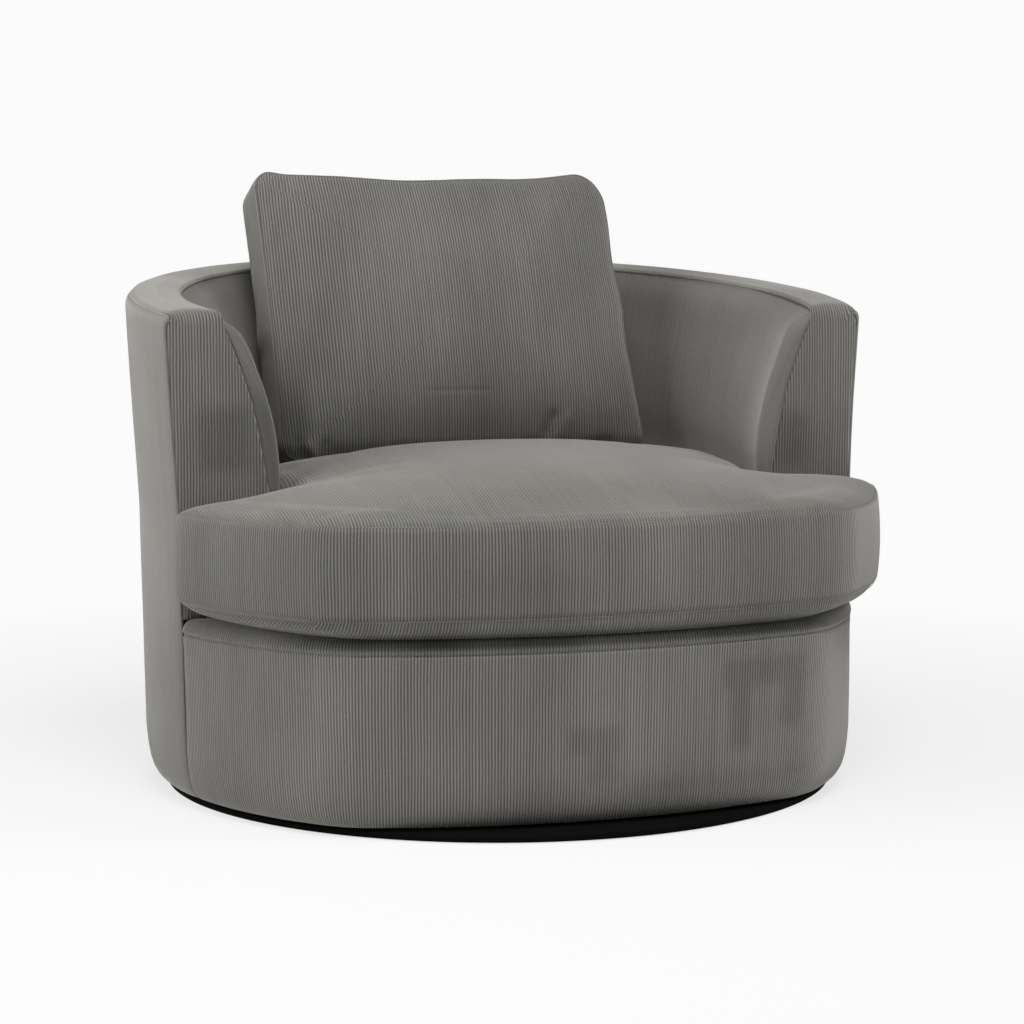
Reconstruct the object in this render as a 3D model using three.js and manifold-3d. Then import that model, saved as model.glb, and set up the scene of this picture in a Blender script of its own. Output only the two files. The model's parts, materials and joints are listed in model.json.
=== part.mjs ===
// A round swivel armchair: a barrel body on a ball bearing plate, with a loose seat cushion and a
// loose back cushion. Millimetres, +Z up, the sitter faces -Y. The origin is on the floor, in
// the middle of the chair's box; the swivel axis is the barrel's, a little in front of it.
import * as THREE from "three";
import { mergeVertices } from "three/addons/utils/BufferGeometryUtils.js";
import Module from "manifold-3d";

const wasm = await Module();
wasm.setup();

// Driving dimensions of the whole chair
const barrelRadius = 499; // outer face of the barrel at its lower edge
const barrelFlareShare = 0.04; // growth of that radius with height
const frontFlattening = 62; // how far the front lies inside the barrel's circle
const cornerRadius = 158; // front corners of the body in plan
const cornerTurn = THREE.MathUtils.degToRad(44.9); // where the barrel's curve meets a corner
const armReach = 138; // how far the arms reach in front of the barrel's middle
const wallAtSeat = 127; // depth of the barrel's wall at seat height
const rimWidth = 78.6; // depth of the wall under the rim
const rimFrontHeight = 667; // top of the rim at the arm fronts
const rimRise = 73; // of the rim's top from the arm fronts to the back
const bodyClearance = 2.7; // of the upholstered body above the base board
const apronTop = 260; // top edge of the front apron

// Clearances
const gap = 0.3; // between pieces that touch
const uprightEase = 0.5; // more room round the uprights, whose faces are flat
const overrun = 5; // how far a cutter passes what it cuts

// Floor glides and base board
const glideHeight = 2;
const glideRadius = 20;
const glideInset = 40; // of the glides' middles from the board's edge
const glideCount = 6;
const baseInset = 37; // of the board's edge from the barrel's lower edge
const baseThickness = 12;
const baseBevel = 2;

// Swivel plates, balls and king pin
const plateRadius = 150;
const plateThickness = 2.5;
const raceInset = 32; // of the balls' circle from the plates' edge
const grooveFloorHeight = 5.4; // of a race's groove above the underside of its plate
const grooveEase = 1.4; // beside the balls at a groove's mouth
const grooveTaper = 2.2; // of each side of a groove towards its floor
const raceCrestWidth = 3.6;
const raceFootSlope = 4; // of each side of a race towards its plate
const ballRadius = 5;
const ballCount = 12;
const cageThickness = 1.6;
const cageRoom = 0.7; // between the cage and each race
const cageHalfWidth = 9;
const pinRadius = 8;
const pinHeadRadius = 16;
const pinHeadHeight = 6;
const pinHeadRecess = 1; // of the head inside the board's underside
const washerRadius = 22;
const washerThickness = 3;
const nutRadius = 13.5;
const nutHeight = 11;
const pinThreadProud = 2; // thread above the nut
const accessRoom = 10; // round the washer, inside the hole in the bottom panel
const plateScrewInset = 9; // from the plates' edge
const plateScrewCount = 4;
const screwRadius = 2.3;
const screwHeadRadius = 4.6;
const screwHeadHeight = 2.4;
const screwLength = 12;

// Frame
const bottomPanelThickness = 18;
const bottomPanelEase = 2; // between the bottom panel and the turned-in covers
const dustCoverThickness = 1.2;
const dustCoverMargin = 16; // between its edge and the turned-in covers
const dustCoverEase = 8; // round the bearing
const railThickness = 18;
const seatRailWidth = 66.6;
const uprightWidth = 45;
const uprightFacets = { right: [1, 6, 11], left: [26, 21, 16] }; // counted from the right arm
const boardThickness = 3.5;
const springWireRadius = 2;
const springSpacing = 110;
const springCount = 5;
const springHalfWidth = 22;
const springBends = 9;
const springEndRun = 20; // straight wire on each rail

// Upholstery
const coverThickness = 10;
const apronThickness = 14;
const apronLipOverhang = 1.7; // how far the apron's lip passes the front rail
const apronLipThickness = 9.7;
const apronTopRound = 20;
const hemDepth = 28; // how far the covers turn in under the body
const hemHeight = 63;
const hemThickness = 12;
const deckThickness = 15;
const deckBelowApron = 2;
const deckNotchDepth = 20; // how far the deck runs back behind the arm panels
const padThickness = 30;
const padGap = 0.8; // behind the pad
const armPanelThickness = 18;
const armPanelEdge = 4; // bevel along its front edges
const rimOuterSeamDrop = 18; // below the top of the rim
const rimInnerSeamDrop = 26; // below the top of the rim
const rimPadExtra = 4; // how far the rim's padding reaches below its outer seam

// Seat cushion
const seatOverhang = 43; // beyond the barrel's lower edge
const seatFlattening = 79; // how far its front lies inside its own circle
const seatCornerRadius = 126;
const seatUnderFold = 28; // from the deck to the bottom seam
const seatSideHeight = 118; // between the seams
const seatCrown = 66; // rise of the middle above the top seam
const seatFrontEdgeRise = 12; // rise just inside the front and side seams
const seatSideEdgeRise = 30; // rise between the arms
const seatRearEdgeRise = 2; // rise where the back cushion presses it down
const seatCrownForward = 28; // of the highest place from the barrel's middle
const seatCrownSideMargin = 98; // of the crown's edges outside the barrel's inner face
const seatCrownFrontMargin = 5; // of the crown's edge behind the front seam
const seatCrownBackReach = 190;
const seatNestBack = 52; // from the barrel's middle to where the back cushion presses
const seatNestDepth = 170; // from there to the full depth of its print
const seatSeamInset = 4; // how far the seams lie inside the middle of the band
const seatEarCorner = 48;
const seatFoldForward = 60; // from the arm fronts to the point that the rings close in on
const seatRearClearance = 1.2; // inside the barrel
const seatUndersideRise = 0.8; // above the deck
const slopeAboveSeat = 16; // from the seat's top seam to where the barrel's inner face leans out
const coverWall = 6; // quilted cover with its wadding

// Back cushion
const backSideRoom = 99.5; // from each side to the barrel's inner face, across the chair
const backHeight = 428;
const backGusset = 124;
const backFrontCrown = 40;
const backRearCrown = 26;
const backCorner = 30;
const backDrawIn = 9; // of its top and sides between the corners
const backGussetBulge = 3;
const backLean = THREE.MathUtils.degToRad(13.5);
const backOffsetX = -15;
const cushionRest = 0.6; // between a loose cushion and what it leans on

// Zips
const zipHeight = 7.4;
const zipThickness = 2;
const zipInset = 1; // of the tape from the inside of the cover
const seatZipHalfTurn = THREE.MathUtils.degToRad(38);
const backZipMargin = 57.5; // of its ends from the sides of the back cushion
const sliderLength = 14;
const sliderHeight = 6.6;
const sliderThickness = 2.4;

// Fineness of the curves
const barrelStartTurn = THREE.MathUtils.degToRad(-20);
const barrelFacets = 28;
const frontEndTurn = THREE.MathUtils.degToRad(-11.5);
const plateSides = 24;
const baseSides = 44;
const smallSides = 8;
const springSides = 4;
const springSteps = 26;
const ballSides = 6;
const nutSides = 6;
const frontSteps = 4; // of half the front of a plan curve
const cornerSteps = 4;
const sideSteps = 4; // from a corner to the arms
const earSteps = 3;
const deckSteps = 12; // of half the deck's back
const seatRearSteps = 9; // of half the seat cushion's back
const zipSteps = 16;
const backSideSteps = 6;
const settlePasses = 12;

// Outlines, as shares of the sizes above
const hemOuterShares = [[1, 0], [0.34, 0.14], [0.07, 0.48], [0, 1]];
const hemInnerShares = [[0, 1], [0.18, 0.6], [1, 0]];
const innerFaceShares = [[0, 0], [0.42, 0.25], [0.74, 0.58], [1, 1]];
const rimOuterRoundShares = [[0, 1], [0.12, 0.5], [0.45, 0.14], [1, 0]];
const rimInnerRoundShares = [[1, 0], [0.42, 0.16], [0.12, 0.5], [0, 1]];
const seatTopShares = [0.975, 0.93, 0.8, 0.58, 0.3];
const seatLiningTopShares = [0.93, 0.8, 0.58, 0.3];
const seatBottomShares = [[0.4, 0], [0.7, 0.04], [0.88, 0.22], [0.965, 0.55]];
const seatLiningBottomShares = [[0.86, 0.25]];
const backRingShares = [0.94, 0.8, 0.55, 0.28];
const backLiningRingShares = [0.88, 0.5];
const backCornerShares = [0.1, 0.5, 0.9]; // of a quarter turn
const crownPowerShare = 1.1;
const pillowPowerShare = 0.7;

// Places that follow from the sizes above
const fullTurn = 2 * Math.PI;
const quarterTurn = fullTurn / 4;
const baseBottom = glideHeight + gap;
const baseTop = baseBottom + baseThickness;
const apronBottom = baseTop + bodyClearance; // underside of the upholstered body
const bearingBottom = baseTop + gap;
const bearingHeight = 2 * (grooveFloorHeight + gap + ballRadius); // both plates and the balls
const bearingTop = bearingBottom + bearingHeight;
const bottomPanelBottom = bearingTop + gap;
const bottomPanelTop = bottomPanelBottom + bottomPanelThickness;
const frameFoot = bottomPanelTop + gap;
const deckTop = apronTop - deckBelowApron;
const padFoot = deckTop + gap;
const seatRailTop = deckTop - deckThickness - 2 * (springWireRadius + gap);
const apronLipDepth = apronThickness + gap + railThickness + apronLipOverhang;
const dustCoverInset = hemDepth + dustCoverMargin;
const rimPadThickness = rimOuterSeamDrop + rimPadExtra;
const rimRadius = barrelFaceRadius(rimFrontHeight + rimRise - rimOuterSeamDrop);
const seatSideRadius = barrelRadius + seatOverhang;
const barrelY = (seatSideRadius - seatFlattening - rimRadius) / 2;
const chairDepth = 2 * (barrelY + rimRadius);
const rimSlopeShare = rimRise / (rimRadius + armReach);
const bodyFrontY = barrelY - barrelRadius + frontFlattening;
const armFrontY = barrelY - armReach;
const armPanelBack = armFrontY + armPanelThickness;
const innerSeatRadius = barrelRadius - wallAtSeat;
const innerRimRadius = barrelFaceRadius(rimFrontHeight) - rimWidth;
const baseRadius = barrelRadius - baseInset;
const raceRadius = plateRadius - raceInset;
const facetTurn = (fullTurn / 2 - 2 * barrelStartTurn) / barrelFacets;
const facetShare = Math.cos(facetTurn / 2);
const innerBoardOffset = padThickness + padGap; // outside the barrel's inner face
const uprightOffset = innerBoardOffset + boardThickness + gap; // likewise, of the uprights and rails
const coverLining = coverThickness + gap; // inside the barrel's outer face
const railInset = coverLining + boardThickness + gap; // likewise, of the uprights and rails
const platformRadius = innerSeatRadius + uprightOffset;
const seatRearRadius = innerSeatRadius * facetShare - seatRearClearance;
const seatRailInnerRadius = platformRadius - seatRailWidth;
const seatBottomSeam = deckTop + seatUnderFold;
const seatTopSeam = seatBottomSeam + seatSideHeight;
const innerSlopeStart = seatTopSeam + slopeAboveSeat;
const seatFrontY = barrelY - seatSideRadius + seatFlattening;
const seatFoldY = armFrontY - seatFoldForward;
const seatCrownCentreY = barrelY - seatCrownForward;
const seatNestStartY = barrelY + seatNestBack;
const backWidth = 2 * (innerSeatRadius - backSideRoom);
const backZipLength = backWidth - 2 * backZipMargin;

const finishes = {
  fabric: { color: 0x75706c, roughness: 0.95, metalness: 0 },
  blackPaint: { color: 0x141414, roughness: 0.6, metalness: 0 },
  nylon: { color: 0x2a2a2a, roughness: 0.6, metalness: 0 },
  steel: { color: 0x9a9da0, roughness: 0.4, metalness: 0.9 },
  plywood: { color: 0xc9a777, roughness: 0.7, metalness: 0 },
  fibreboard: { color: 0x9a7b55, roughness: 0.85, metalness: 0 },
  cambric: { color: 0x1c1c1e, roughness: 0.95, metalness: 0 },
  foam: { color: 0xe6dcbb, roughness: 0.95, metalness: 0 },
  zip: { color: 0x2f2d2c, roughness: 0.5, metalness: 0.2 },
};

/** Radius of the barrel's outer face at a height. */
function barrelFaceRadius(z) {
  return barrelRadius + barrelFlareShare * (z - apronBottom);
}

/** Height of the rim's top over a place in plan: it rises in one slope from the arms to the back. */
function rimHeight(y) {
  return rimFrontHeight + rimSlopeShare * (y - armFrontY);
}

/** Adds one named sub-part to a group. */
function addPiece(group, name, geometry, finish) {
  const mesh = new THREE.Mesh(geometry, new THREE.MeshStandardMaterial(finishes[finish]));
  mesh.name = name;
  group.add(mesh);
}

/** Signed volume of a triangle list, which tells which way its faces point. */
function signedVolume(positions, faces) {
  const [a, b, c] = [new THREE.Vector3(), new THREE.Vector3(), new THREE.Vector3()];
  let sum = 0;
  for (let i = 0; i < faces.length; i += 3) {
    a.fromArray(positions, 3 * faces[i]);
    b.fromArray(positions, 3 * faces[i + 1]);
    c.fromArray(positions, 3 * faces[i + 2]);
    sum += a.dot(b.cross(c));
  }
  return sum;
}

/** Geometry from flat positions and triangle corners, with its faces turned outwards. */
function closedGeometry(positions, faces) {
  const outward = signedVolume(positions, faces) < 0 ? [...faces].reverse() : [...faces];
  const geometry = new THREE.BufferGeometry();
  geometry.setAttribute("position", new THREE.Float32BufferAttribute(positions, 3));
  geometry.setIndex(outward);
  return geometry;
}

/** Quads between ring after ring of points, each ring closed on itself. */
function ringWalls(ringCount, ringSize) {
  const faces = [];
  for (let i = 0; i + 1 < ringCount; i++) {
    const low = i * ringSize;
    const high = low + ringSize;
    for (let j = 0; j < ringSize; j++) {
      const k = (j + 1) % ringSize;
      faces.push(low + j, low + k, high + k, low + j, high + k, high + j);
    }
  }
  return faces;
}

/** Triangles that fill a closed outline, each in the outline's own direction. */
function outlineTriangles(outline) {
  const contour = outline.map(([u, v]) => new THREE.Vector2(u, v));
  const positive = THREE.ShapeUtils.area(contour) > 0;
  return THREE.ShapeUtils.triangulateShape(contour, []).map(([a, b, c]) => {
    const same = THREE.ShapeUtils.area([contour[a], contour[b], contour[c]]) > 0 === positive;
    return same ? [a, b, c] : [a, c, b];
  });
}

/**
 * Solid swept along stations. A station has a place and an outward direction in plan; the section
 * at a station is a list of [distance along that direction, height].
 */
function sweptSolid(stations, sectionAt) {
  const sections = stations.map((station) => sectionAt(station));
  const size = sections[0].length;
  const last = (stations.length - 1) * size;
  const pointAt = (s, [d, z]) => [s.x + s.nx * d, s.y + s.ny * d, z];
  const positions = stations.flatMap((s, i) => sections[i].flatMap((place) => pointAt(s, place)));
  const faces = ringWalls(stations.length, size);
  outlineTriangles(sections[0]).forEach(([a, b, c]) => faces.push(a, c, b));
  outlineTriangles(sections.at(-1)).forEach(([a, b, c]) => faces.push(last + a, last + b, last + c));
  return closedGeometry(positions, faces);
}

/** Solid through stacked rings of [x, y, z], closed by a point at each end. */
function stackedSolid(firstPoint, rings, lastPoint) {
  const size = rings[0].length;
  const positions = [...rings.flat(2), ...firstPoint, ...lastPoint];
  const faces = ringWalls(rings.length, size);
  const first = rings.length * size;
  const lastRing = (rings.length - 1) * size;
  for (let j = 0; j < size; j++) {
    const k = (j + 1) % size;
    faces.push(first, k, j, first + 1, lastRing + j, lastRing + k);
  }
  return closedGeometry(positions, faces);
}

/** Turned solid from a closed profile of [radius, height]. */
function turnedSolid(profile, sides) {
  const points = [...profile, profile[0]].map(([r, z]) => new THREE.Vector2(r, z));
  const lathe = new THREE.LatheGeometry(points, sides).rotateX(quarterTurn);
  lathe.deleteAttribute("normal");
  lathe.deleteAttribute("uv");
  const merged = mergeVertices(lathe, gap / 1000);
  const faces = [];
  const index = merged.index.array;
  for (let i = 0; i < index.length; i += 3) {
    const [a, b, c] = [index[i], index[i + 1], index[i + 2]];
    if (a !== b && b !== c && c !== a) {
      faces.push(a, b, c);
    }
  }
  return closedGeometry([...merged.attributes.position.array], faces);
}

/** Flat board between two heights from an outline in plan, with a round hole on the middle line. */
function boardSolid(outline, bottom, thickness, holeRadius, holeY) {
  const shape = new THREE.Shape(outline.map(([x, y]) => new THREE.Vector2(x, y)));
  if (holeRadius) {
    shape.holes.push(new THREE.Path().absarc(0, holeY, holeRadius, 0, fullTurn, true));
  }
  const options = { depth: thickness, bevelEnabled: false, curveSegments: plateSides };
  return new THREE.ExtrudeGeometry(shape, options).translate(0, 0, bottom);
}

/** The solid of a geometry, for cutting and joining. */
function toSolid(geometry) {
  const bare = geometry.clone();
  bare.deleteAttribute("normal");
  bare.deleteAttribute("uv");
  const merged = mergeVertices(bare, gap / 1000);
  return new wasm.Manifold(new wasm.Mesh({
    numProp: 3,
    vertProperties: new Float32Array(merged.attributes.position.array),
    triVerts: new Uint32Array(merged.index.array),
  }));
}

/** The geometry of a solid. */
function toGeometry(solid) {
  const mesh = solid.getMesh();
  const geometry = new THREE.BufferGeometry();
  geometry.setAttribute("position", new THREE.BufferAttribute(mesh.vertProperties, 3));
  geometry.setIndex(new THREE.BufferAttribute(mesh.triVerts, 1));
  return geometry;
}

/** A geometry less its cutters. */
function cut(geometry, ...cutters) {
  return toGeometry(cutters.reduce((solid, cutter) => solid.subtract(toSolid(cutter)), toSolid(geometry)));
}

/** What a geometry keeps behind a plane across the chair, or in front of it. */
function keepBehind(geometry, y) {
  return cut(geometry, halfSpace(y, -1));
}

function keepInFront(geometry, y) {
  return cut(geometry, halfSpace(y, 1));
}

/** A block that reaches from a plane across the chair past its front or back. */
function halfSpace(y, side) {
  const block = new THREE.BoxGeometry(2 * chairDepth, chairDepth, 2 * chairDepth);
  return block.translate(0, y + side * chairDepth / 2, rimFrontHeight / 2);
}

/** Stations round the barrel, from the right arm round the back to the left arm. */
function barrelStations(firstFacet, lastFacet) {
  const stations = [];
  for (let i = firstFacet; i <= lastFacet; i++) {
    const turn = barrelStartTurn + i * facetTurn;
    stations.push({ x: 0, y: barrelY, nx: Math.cos(turn), ny: Math.sin(turn) });
  }
  return stations;
}

/** The curve of a body in plan: barrel side, round corner and shallow front. */
function planCurve(sideRadius, roundRadius, frontY) {
  const cornerX = (sideRadius - roundRadius) * Math.cos(cornerTurn);
  const cornerY = barrelY - (sideRadius - roundRadius) * Math.sin(cornerTurn);
  const k = frontY + roundRadius;
  const frontCentreY = (cornerX ** 2 + cornerY ** 2 - k ** 2) / (2 * (cornerY - k));
  const frontTurn = Math.atan2(cornerY - frontCentreY, cornerX);
  return { sideRadius, roundRadius, frontY, cornerX, cornerY, frontCentreY, frontTurn };
}

/** Stations on an arc about a centre, the first one left out where asked. */
function arcStations(centreX, centreY, radius, from, to, steps, skipFirst) {
  const stations = [];
  for (let i = skipFirst ? 1 : 0; i <= steps; i++) {
    const turn = from + (to - from) * i / steps;
    const [nx, ny] = [Math.cos(turn), Math.sin(turn)];
    stations.push({ x: centreX + radius * nx, y: centreY + radius * ny, nx, ny });
  }
  return stations;
}

/** Right half of a plan curve, from the middle of its front to a turn on the barrel. */
function halfCurve(curve, endTurn) {
  const { cornerX, cornerY, roundRadius, frontCentreY, frontTurn } = curve;
  const frontRadius = frontCentreY - curve.frontY;
  return [
    ...arcStations(0, frontCentreY, frontRadius, -quarterTurn, frontTurn, frontSteps, false),
    ...arcStations(cornerX, cornerY, roundRadius, frontTurn, -cornerTurn, cornerSteps, true),
    ...arcStations(0, barrelY, curve.sideRadius, -cornerTurn, endTurn, sideSteps, true),
  ];
}

/** The same stations on the left of the chair. */
function mirrored(stations) {
  return stations.map((s) => ({ x: -s.x, y: s.y, nx: -s.nx, ny: s.ny }));
}

/** A whole run from a right half that starts on the middle line: left end, front, right end. */
function bothHalves(half) {
  return [...mirrored(half.slice(1)).reverse(), ...half];
}

/** Points in plan at a distance outside a run of stations. */
function pointsBeside(stations, distance) {
  return stations.map((s) => [s.x + s.nx * distance, s.y + s.ny * distance]);
}

/** Points of a rounded corner between two places, bent towards a third. */
function roundedCorner(from, corner, to, steps) {
  const ends = [from, corner, to].map(([x, y]) => new THREE.Vector2(x, y));
  return new THREE.QuadraticBezierCurve(...ends).getPoints(steps).map((p) => [p.x, p.y]);
}

/** Moves a closed outline inwards along its corners' bisectors. */
function insetOutline(outline, distance) {
  const count = outline.length;
  return outline.map(([x, y], i) => {
    const [px, py] = outline[(i + count - 1) % count];
    const [qx, qy] = outline[(i + 1) % count];
    const before = new THREE.Vector2(py - y, x - px).normalize();
    const after = new THREE.Vector2(y - qy, qx - x).normalize();
    const out = before.clone().add(after).normalize();
    const reach = distance / out.dot(after);
    return [x + out.x * reach, y + out.y * reach];
  });
}

const bodyCurve = planCurve(barrelRadius, cornerRadius, bodyFrontY);
const frontHalf = halfCurve(bodyCurve, frontEndTurn);
const frontStations = bothHalves(frontHalf);

/** Points of the body's whole outline in plan, moved in by a distance. */
function bodyOutline(inset) {
  const back = barrelStations(2, barrelFacets - 2).map((s) => ({
    ...s, x: s.nx * barrelRadius, y: barrelY + s.ny * barrelRadius,
  }));
  return pointsBeside([...frontStations, ...back], -inset);
}

/** A share of a turned-in hem as [distance inside the face, height]. */
function hemPoint([inShare, upShare], height, foot) {
  return [-hemDepth * inShare, foot + height * upShare];
}

/** Round floor and base pieces that stay still, round the swivel axis. */
function buildBase() {
  const base = new THREE.Group();
  base.position.y = barrelY;
  for (let i = 0; i < glideCount; i++) {
    const turn = (i + 0.5) * fullTurn / glideCount;
    const profile = [[0, 0], [glideRadius, 0], [glideRadius, glideHeight], [0, glideHeight]];
    const reach = baseRadius - glideInset;
    const [x, y] = [reach * Math.cos(turn), reach * Math.sin(turn)];
    addPiece(base, `glide_${i + 1}`, turnedSolid(profile, smallSides).translate(x, y, 0), "nylon");
  }
  const bore = pinRadius + gap;
  const recess = pinHeadRadius + gap;
  const recessTop = baseBottom + pinHeadRecess + pinHeadHeight + gap;
  const board = turnedSolid([
    [recess, baseBottom], [baseRadius - baseBevel, baseBottom], [baseRadius, baseBottom + baseBevel],
    [baseRadius, baseTop - baseBevel], [baseRadius - baseBevel, baseTop], [bore, baseTop],
    [bore, recessTop], [recess, recessTop],
  ], baseSides);
  const screwTop = bearingBottom + plateThickness + gap + screwHeadHeight;
  const boardHoles = screwHoles(screwTop - screwLength - gap, baseTop + overrun);
  addPiece(base, "base_disc", cut(board, ...boardHoles), "blackPaint");
  const lowerPlate = turnedSolid(plateProfile().map(([r, z]) => [r, bearingBottom + z]), plateSides);
  const plateHoles = screwHoles(bearingBottom - overrun, bearingBottom + plateThickness + overrun);
  addPiece(base, "bearing_lower_plate", cut(lowerPlate, ...plateHoles), "steel");
  screwPlaces().forEach(([x, y], i) => {
    addPiece(base, `lower_screw_${i + 1}`, screwSolid().translate(x, y, screwTop), "steel");
  });
  const headBottom = baseBottom + pinHeadRecess;
  const headTop = headBottom + pinHeadHeight;
  const washerBottom = bearingTop + gap;
  const nutBottom = washerBottom + washerThickness + gap;
  const pinTop = nutBottom + nutHeight + pinThreadProud;
  const pin = [[0, headBottom], [pinHeadRadius, headBottom], [pinHeadRadius, headTop], [pinRadius, headTop],
    [pinRadius, pinTop], [0, pinTop]];
  addPiece(base, "king_pin", turnedSolid(pin, 2 * smallSides), "steel");
  const washer = ringSolid(bore, washerRadius, washerBottom, washerThickness, 2 * smallSides);
  addPiece(base, "retaining_washer", washer, "steel");
  addPiece(base, "pin_nut", hexNut(nutBottom, bore), "steel");
  return base;
}

/** Flat ring between two radii. */
function ringSolid(inner, outer, bottom, thickness, sides) {
  const top = bottom + thickness;
  return turnedSolid([[inner, bottom], [outer, bottom], [outer, top], [inner, top]], sides);
}

/** Six-sided nut with a round bore. */
function hexNut(bottom, bore) {
  const corners = Array.from({ length: nutSides }, (_, i) => {
    const turn = i * fullTurn / nutSides;
    return [nutRadius * Math.cos(turn), nutRadius * Math.sin(turn)];
  });
  return boardSolid(corners, bottom, nutHeight, bore, 0);
}

/** Half section of a swivel plate that lies on zero, with its race pressed up. */
function plateProfile() {
  const bore = pinRadius + gap;
  const crest = bearingHeight / 2 - cageThickness / 2 - cageRoom;
  const mouthHalf = ballRadius + grooveEase;
  const floorHalf = mouthHalf - grooveTaper;
  const crestHalf = mouthHalf + raceCrestWidth;
  const footHalf = crestHalf + raceFootSlope;
  return [
    [bore, 0], [plateRadius, 0], [plateRadius, plateThickness], [raceRadius + footHalf, plateThickness],
    [raceRadius + crestHalf, crest], [raceRadius + mouthHalf, crest],
    [raceRadius + floorHalf, grooveFloorHeight], [raceRadius - floorHalf, grooveFloorHeight],
    [raceRadius - mouthHalf, crest], [raceRadius - crestHalf, crest],
    [raceRadius - footHalf, plateThickness], [bore, plateThickness],
  ];
}

/** Places of the four screws of a swivel plate. */
function screwPlaces() {
  return Array.from({ length: plateScrewCount }, (_, i) => {
    const turn = (i + 0.5) * fullTurn / plateScrewCount;
    const reach = plateRadius - plateScrewInset;
    return [reach * Math.cos(turn), reach * Math.sin(turn)];
  });
}

/** Round-headed screw that points down, the top of its head on zero. */
function screwSolid() {
  return turnedSolid([
    [0, 0], [screwHeadRadius / 2, 0], [screwHeadRadius, -screwHeadHeight / 2],
    [screwHeadRadius, -screwHeadHeight],
    [screwRadius, -screwHeadHeight], [screwRadius, -screwLength], [0, -screwLength],
  ], smallSides);
}

/** Cutters for the screws' holes between two heights. */
function screwHoles(bottom, top) {
  const cutter = new THREE.CylinderGeometry(screwRadius + gap, screwRadius + gap, top - bottom, smallSides);
  cutter.rotateX(quarterTurn).translate(0, 0, (bottom + top) / 2);
  return screwPlaces().map(([x, y]) => cutter.clone().translate(x, y, 0));
}

/** Balls in their cage, as the one ring that rolls between the plates. */
function buildBallRing() {
  const middle = (bearingBottom + bearingTop) / 2;
  const [inner, outer] = [raceRadius - cageHalfWidth, raceRadius + cageHalfWidth];
  let ring = toSolid(ringSolid(inner, outer, middle - cageThickness / 2, cageThickness, plateSides));
  for (let i = 0; i < ballCount; i++) {
    const turn = i * fullTurn / ballCount;
    const ball = new THREE.SphereGeometry(ballRadius, ballSides, ballSides - 2);
    ball.translate(raceRadius * Math.cos(turn), raceRadius * Math.sin(turn), middle);
    ring = ring.add(toSolid(ball));
  }
  const group = new THREE.Group();
  group.position.y = barrelY;
  addPiece(group, "ball_ring", toGeometry(ring), "steel");
  return group;
}

/** Upper swivel plate and the bolts that hold it to the bottom panel. */
function buildUpperPlate() {
  const group = new THREE.Group();
  group.position.y = barrelY;
  const flipped = plateProfile().map(([r, z]) => [r, bearingTop - z]);
  const plateHoles = screwHoles(bearingTop - plateThickness - overrun, bearingTop + overrun);
  addPiece(group, "bearing_upper_plate", cut(turnedSolid(flipped, plateSides), ...plateHoles), "steel");
  const boltHead = bearingTop - plateThickness - gap - screwHeadHeight;
  screwPlaces().forEach(([x, y], i) => {
    const bolt = screwSolid().rotateX(fullTurn / 2).translate(x, y, boltHead);
    addPiece(group, `upper_bolt_${i + 1}`, bolt, "steel");
  });
  return group;
}

/** Boards, rails and uprights of the turning body. */
function buildFrame() {
  const frame = new THREE.Group();
  const panelOutline = bodyOutline(hemDepth + bottomPanelEase);
  const access = washerRadius + accessRoom;
  const panel = boardSolid(panelOutline, bottomPanelBottom, bottomPanelThickness, access, barrelY);
  const panelHoles = screwHoles(bottomPanelBottom - overrun, bottomPanelBottom + screwLength);
  panelHoles.forEach((hole) => hole.translate(0, barrelY, 0));
  addPiece(frame, "bottom_panel", cut(panel, ...panelHoles), "plywood");
  const dustBottom = bottomPanelBottom - gap - dustCoverThickness;
  const dustHole = plateRadius + dustCoverEase;
  const dustOutline = bodyOutline(dustCoverInset);
  const dust = boardSolid(dustOutline, dustBottom, dustCoverThickness, dustHole, barrelY);
  addPiece(frame, "dust_cover", dust, "cambric");
  const railOuter = -(apronThickness + gap);
  const railInner = railOuter - railThickness;
  addPiece(frame, "front_rail", sweptSolid(frontStations, () => [
    [railOuter, frameFoot], [railOuter, seatRailTop], [railInner, seatRailTop], [railInner, frameFoot],
  ]), "plywood");
  const seatRailBottom = seatRailTop - railThickness;
  addPiece(frame, "seat_rail", sweptSolid(barrelStations(1, barrelFacets - 1), () => [
    [seatRailInnerRadius, seatRailBottom], [platformRadius, seatRailBottom],
    [platformRadius, seatRailTop], [seatRailInnerRadius, seatRailTop],
  ]), "plywood");
  const topRail = sweptSolid(barrelStations(0, barrelFacets), topRailSection);
  addPiece(frame, "top_rail", keepBehind(topRail, armPanelBack + gap), "plywood");
  ["front", "side", "back"].forEach((place, i) => {
    addPiece(frame, `upright_${place}_right`, uprightSolid(uprightFacets.right[i]), "plywood");
    addPiece(frame, `upright_${place}_left`, uprightSolid(uprightFacets.left[i]), "plywood");
  });
  return frame;
}

/** Height of the rim over a distance out from a station. */
function rimAt(station, distance) {
  return rimHeight(station.y + station.ny * distance);
}

/** Radius of the barrel's outer face at the rim's outer seam. */
function rimFace(station) {
  const growthShare = barrelFlareShare * rimSlopeShare * station.ny;
  return barrelFaceRadius(rimHeight(station.y) - rimOuterSeamDrop) / (1 - growthShare);
}

/** Inner face of the barrel at a station, as [radius, height] from the seat to the rim. */
function innerFace(station) {
  const top = rimAt(station, innerRimRadius) - rimInnerSeamDrop;
  return innerFaceShares.map(([up, out]) => [
    innerSeatRadius + (innerRimRadius - innerSeatRadius) * out,
    innerSlopeStart + (top - innerSlopeStart) * up,
  ]);
}

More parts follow.
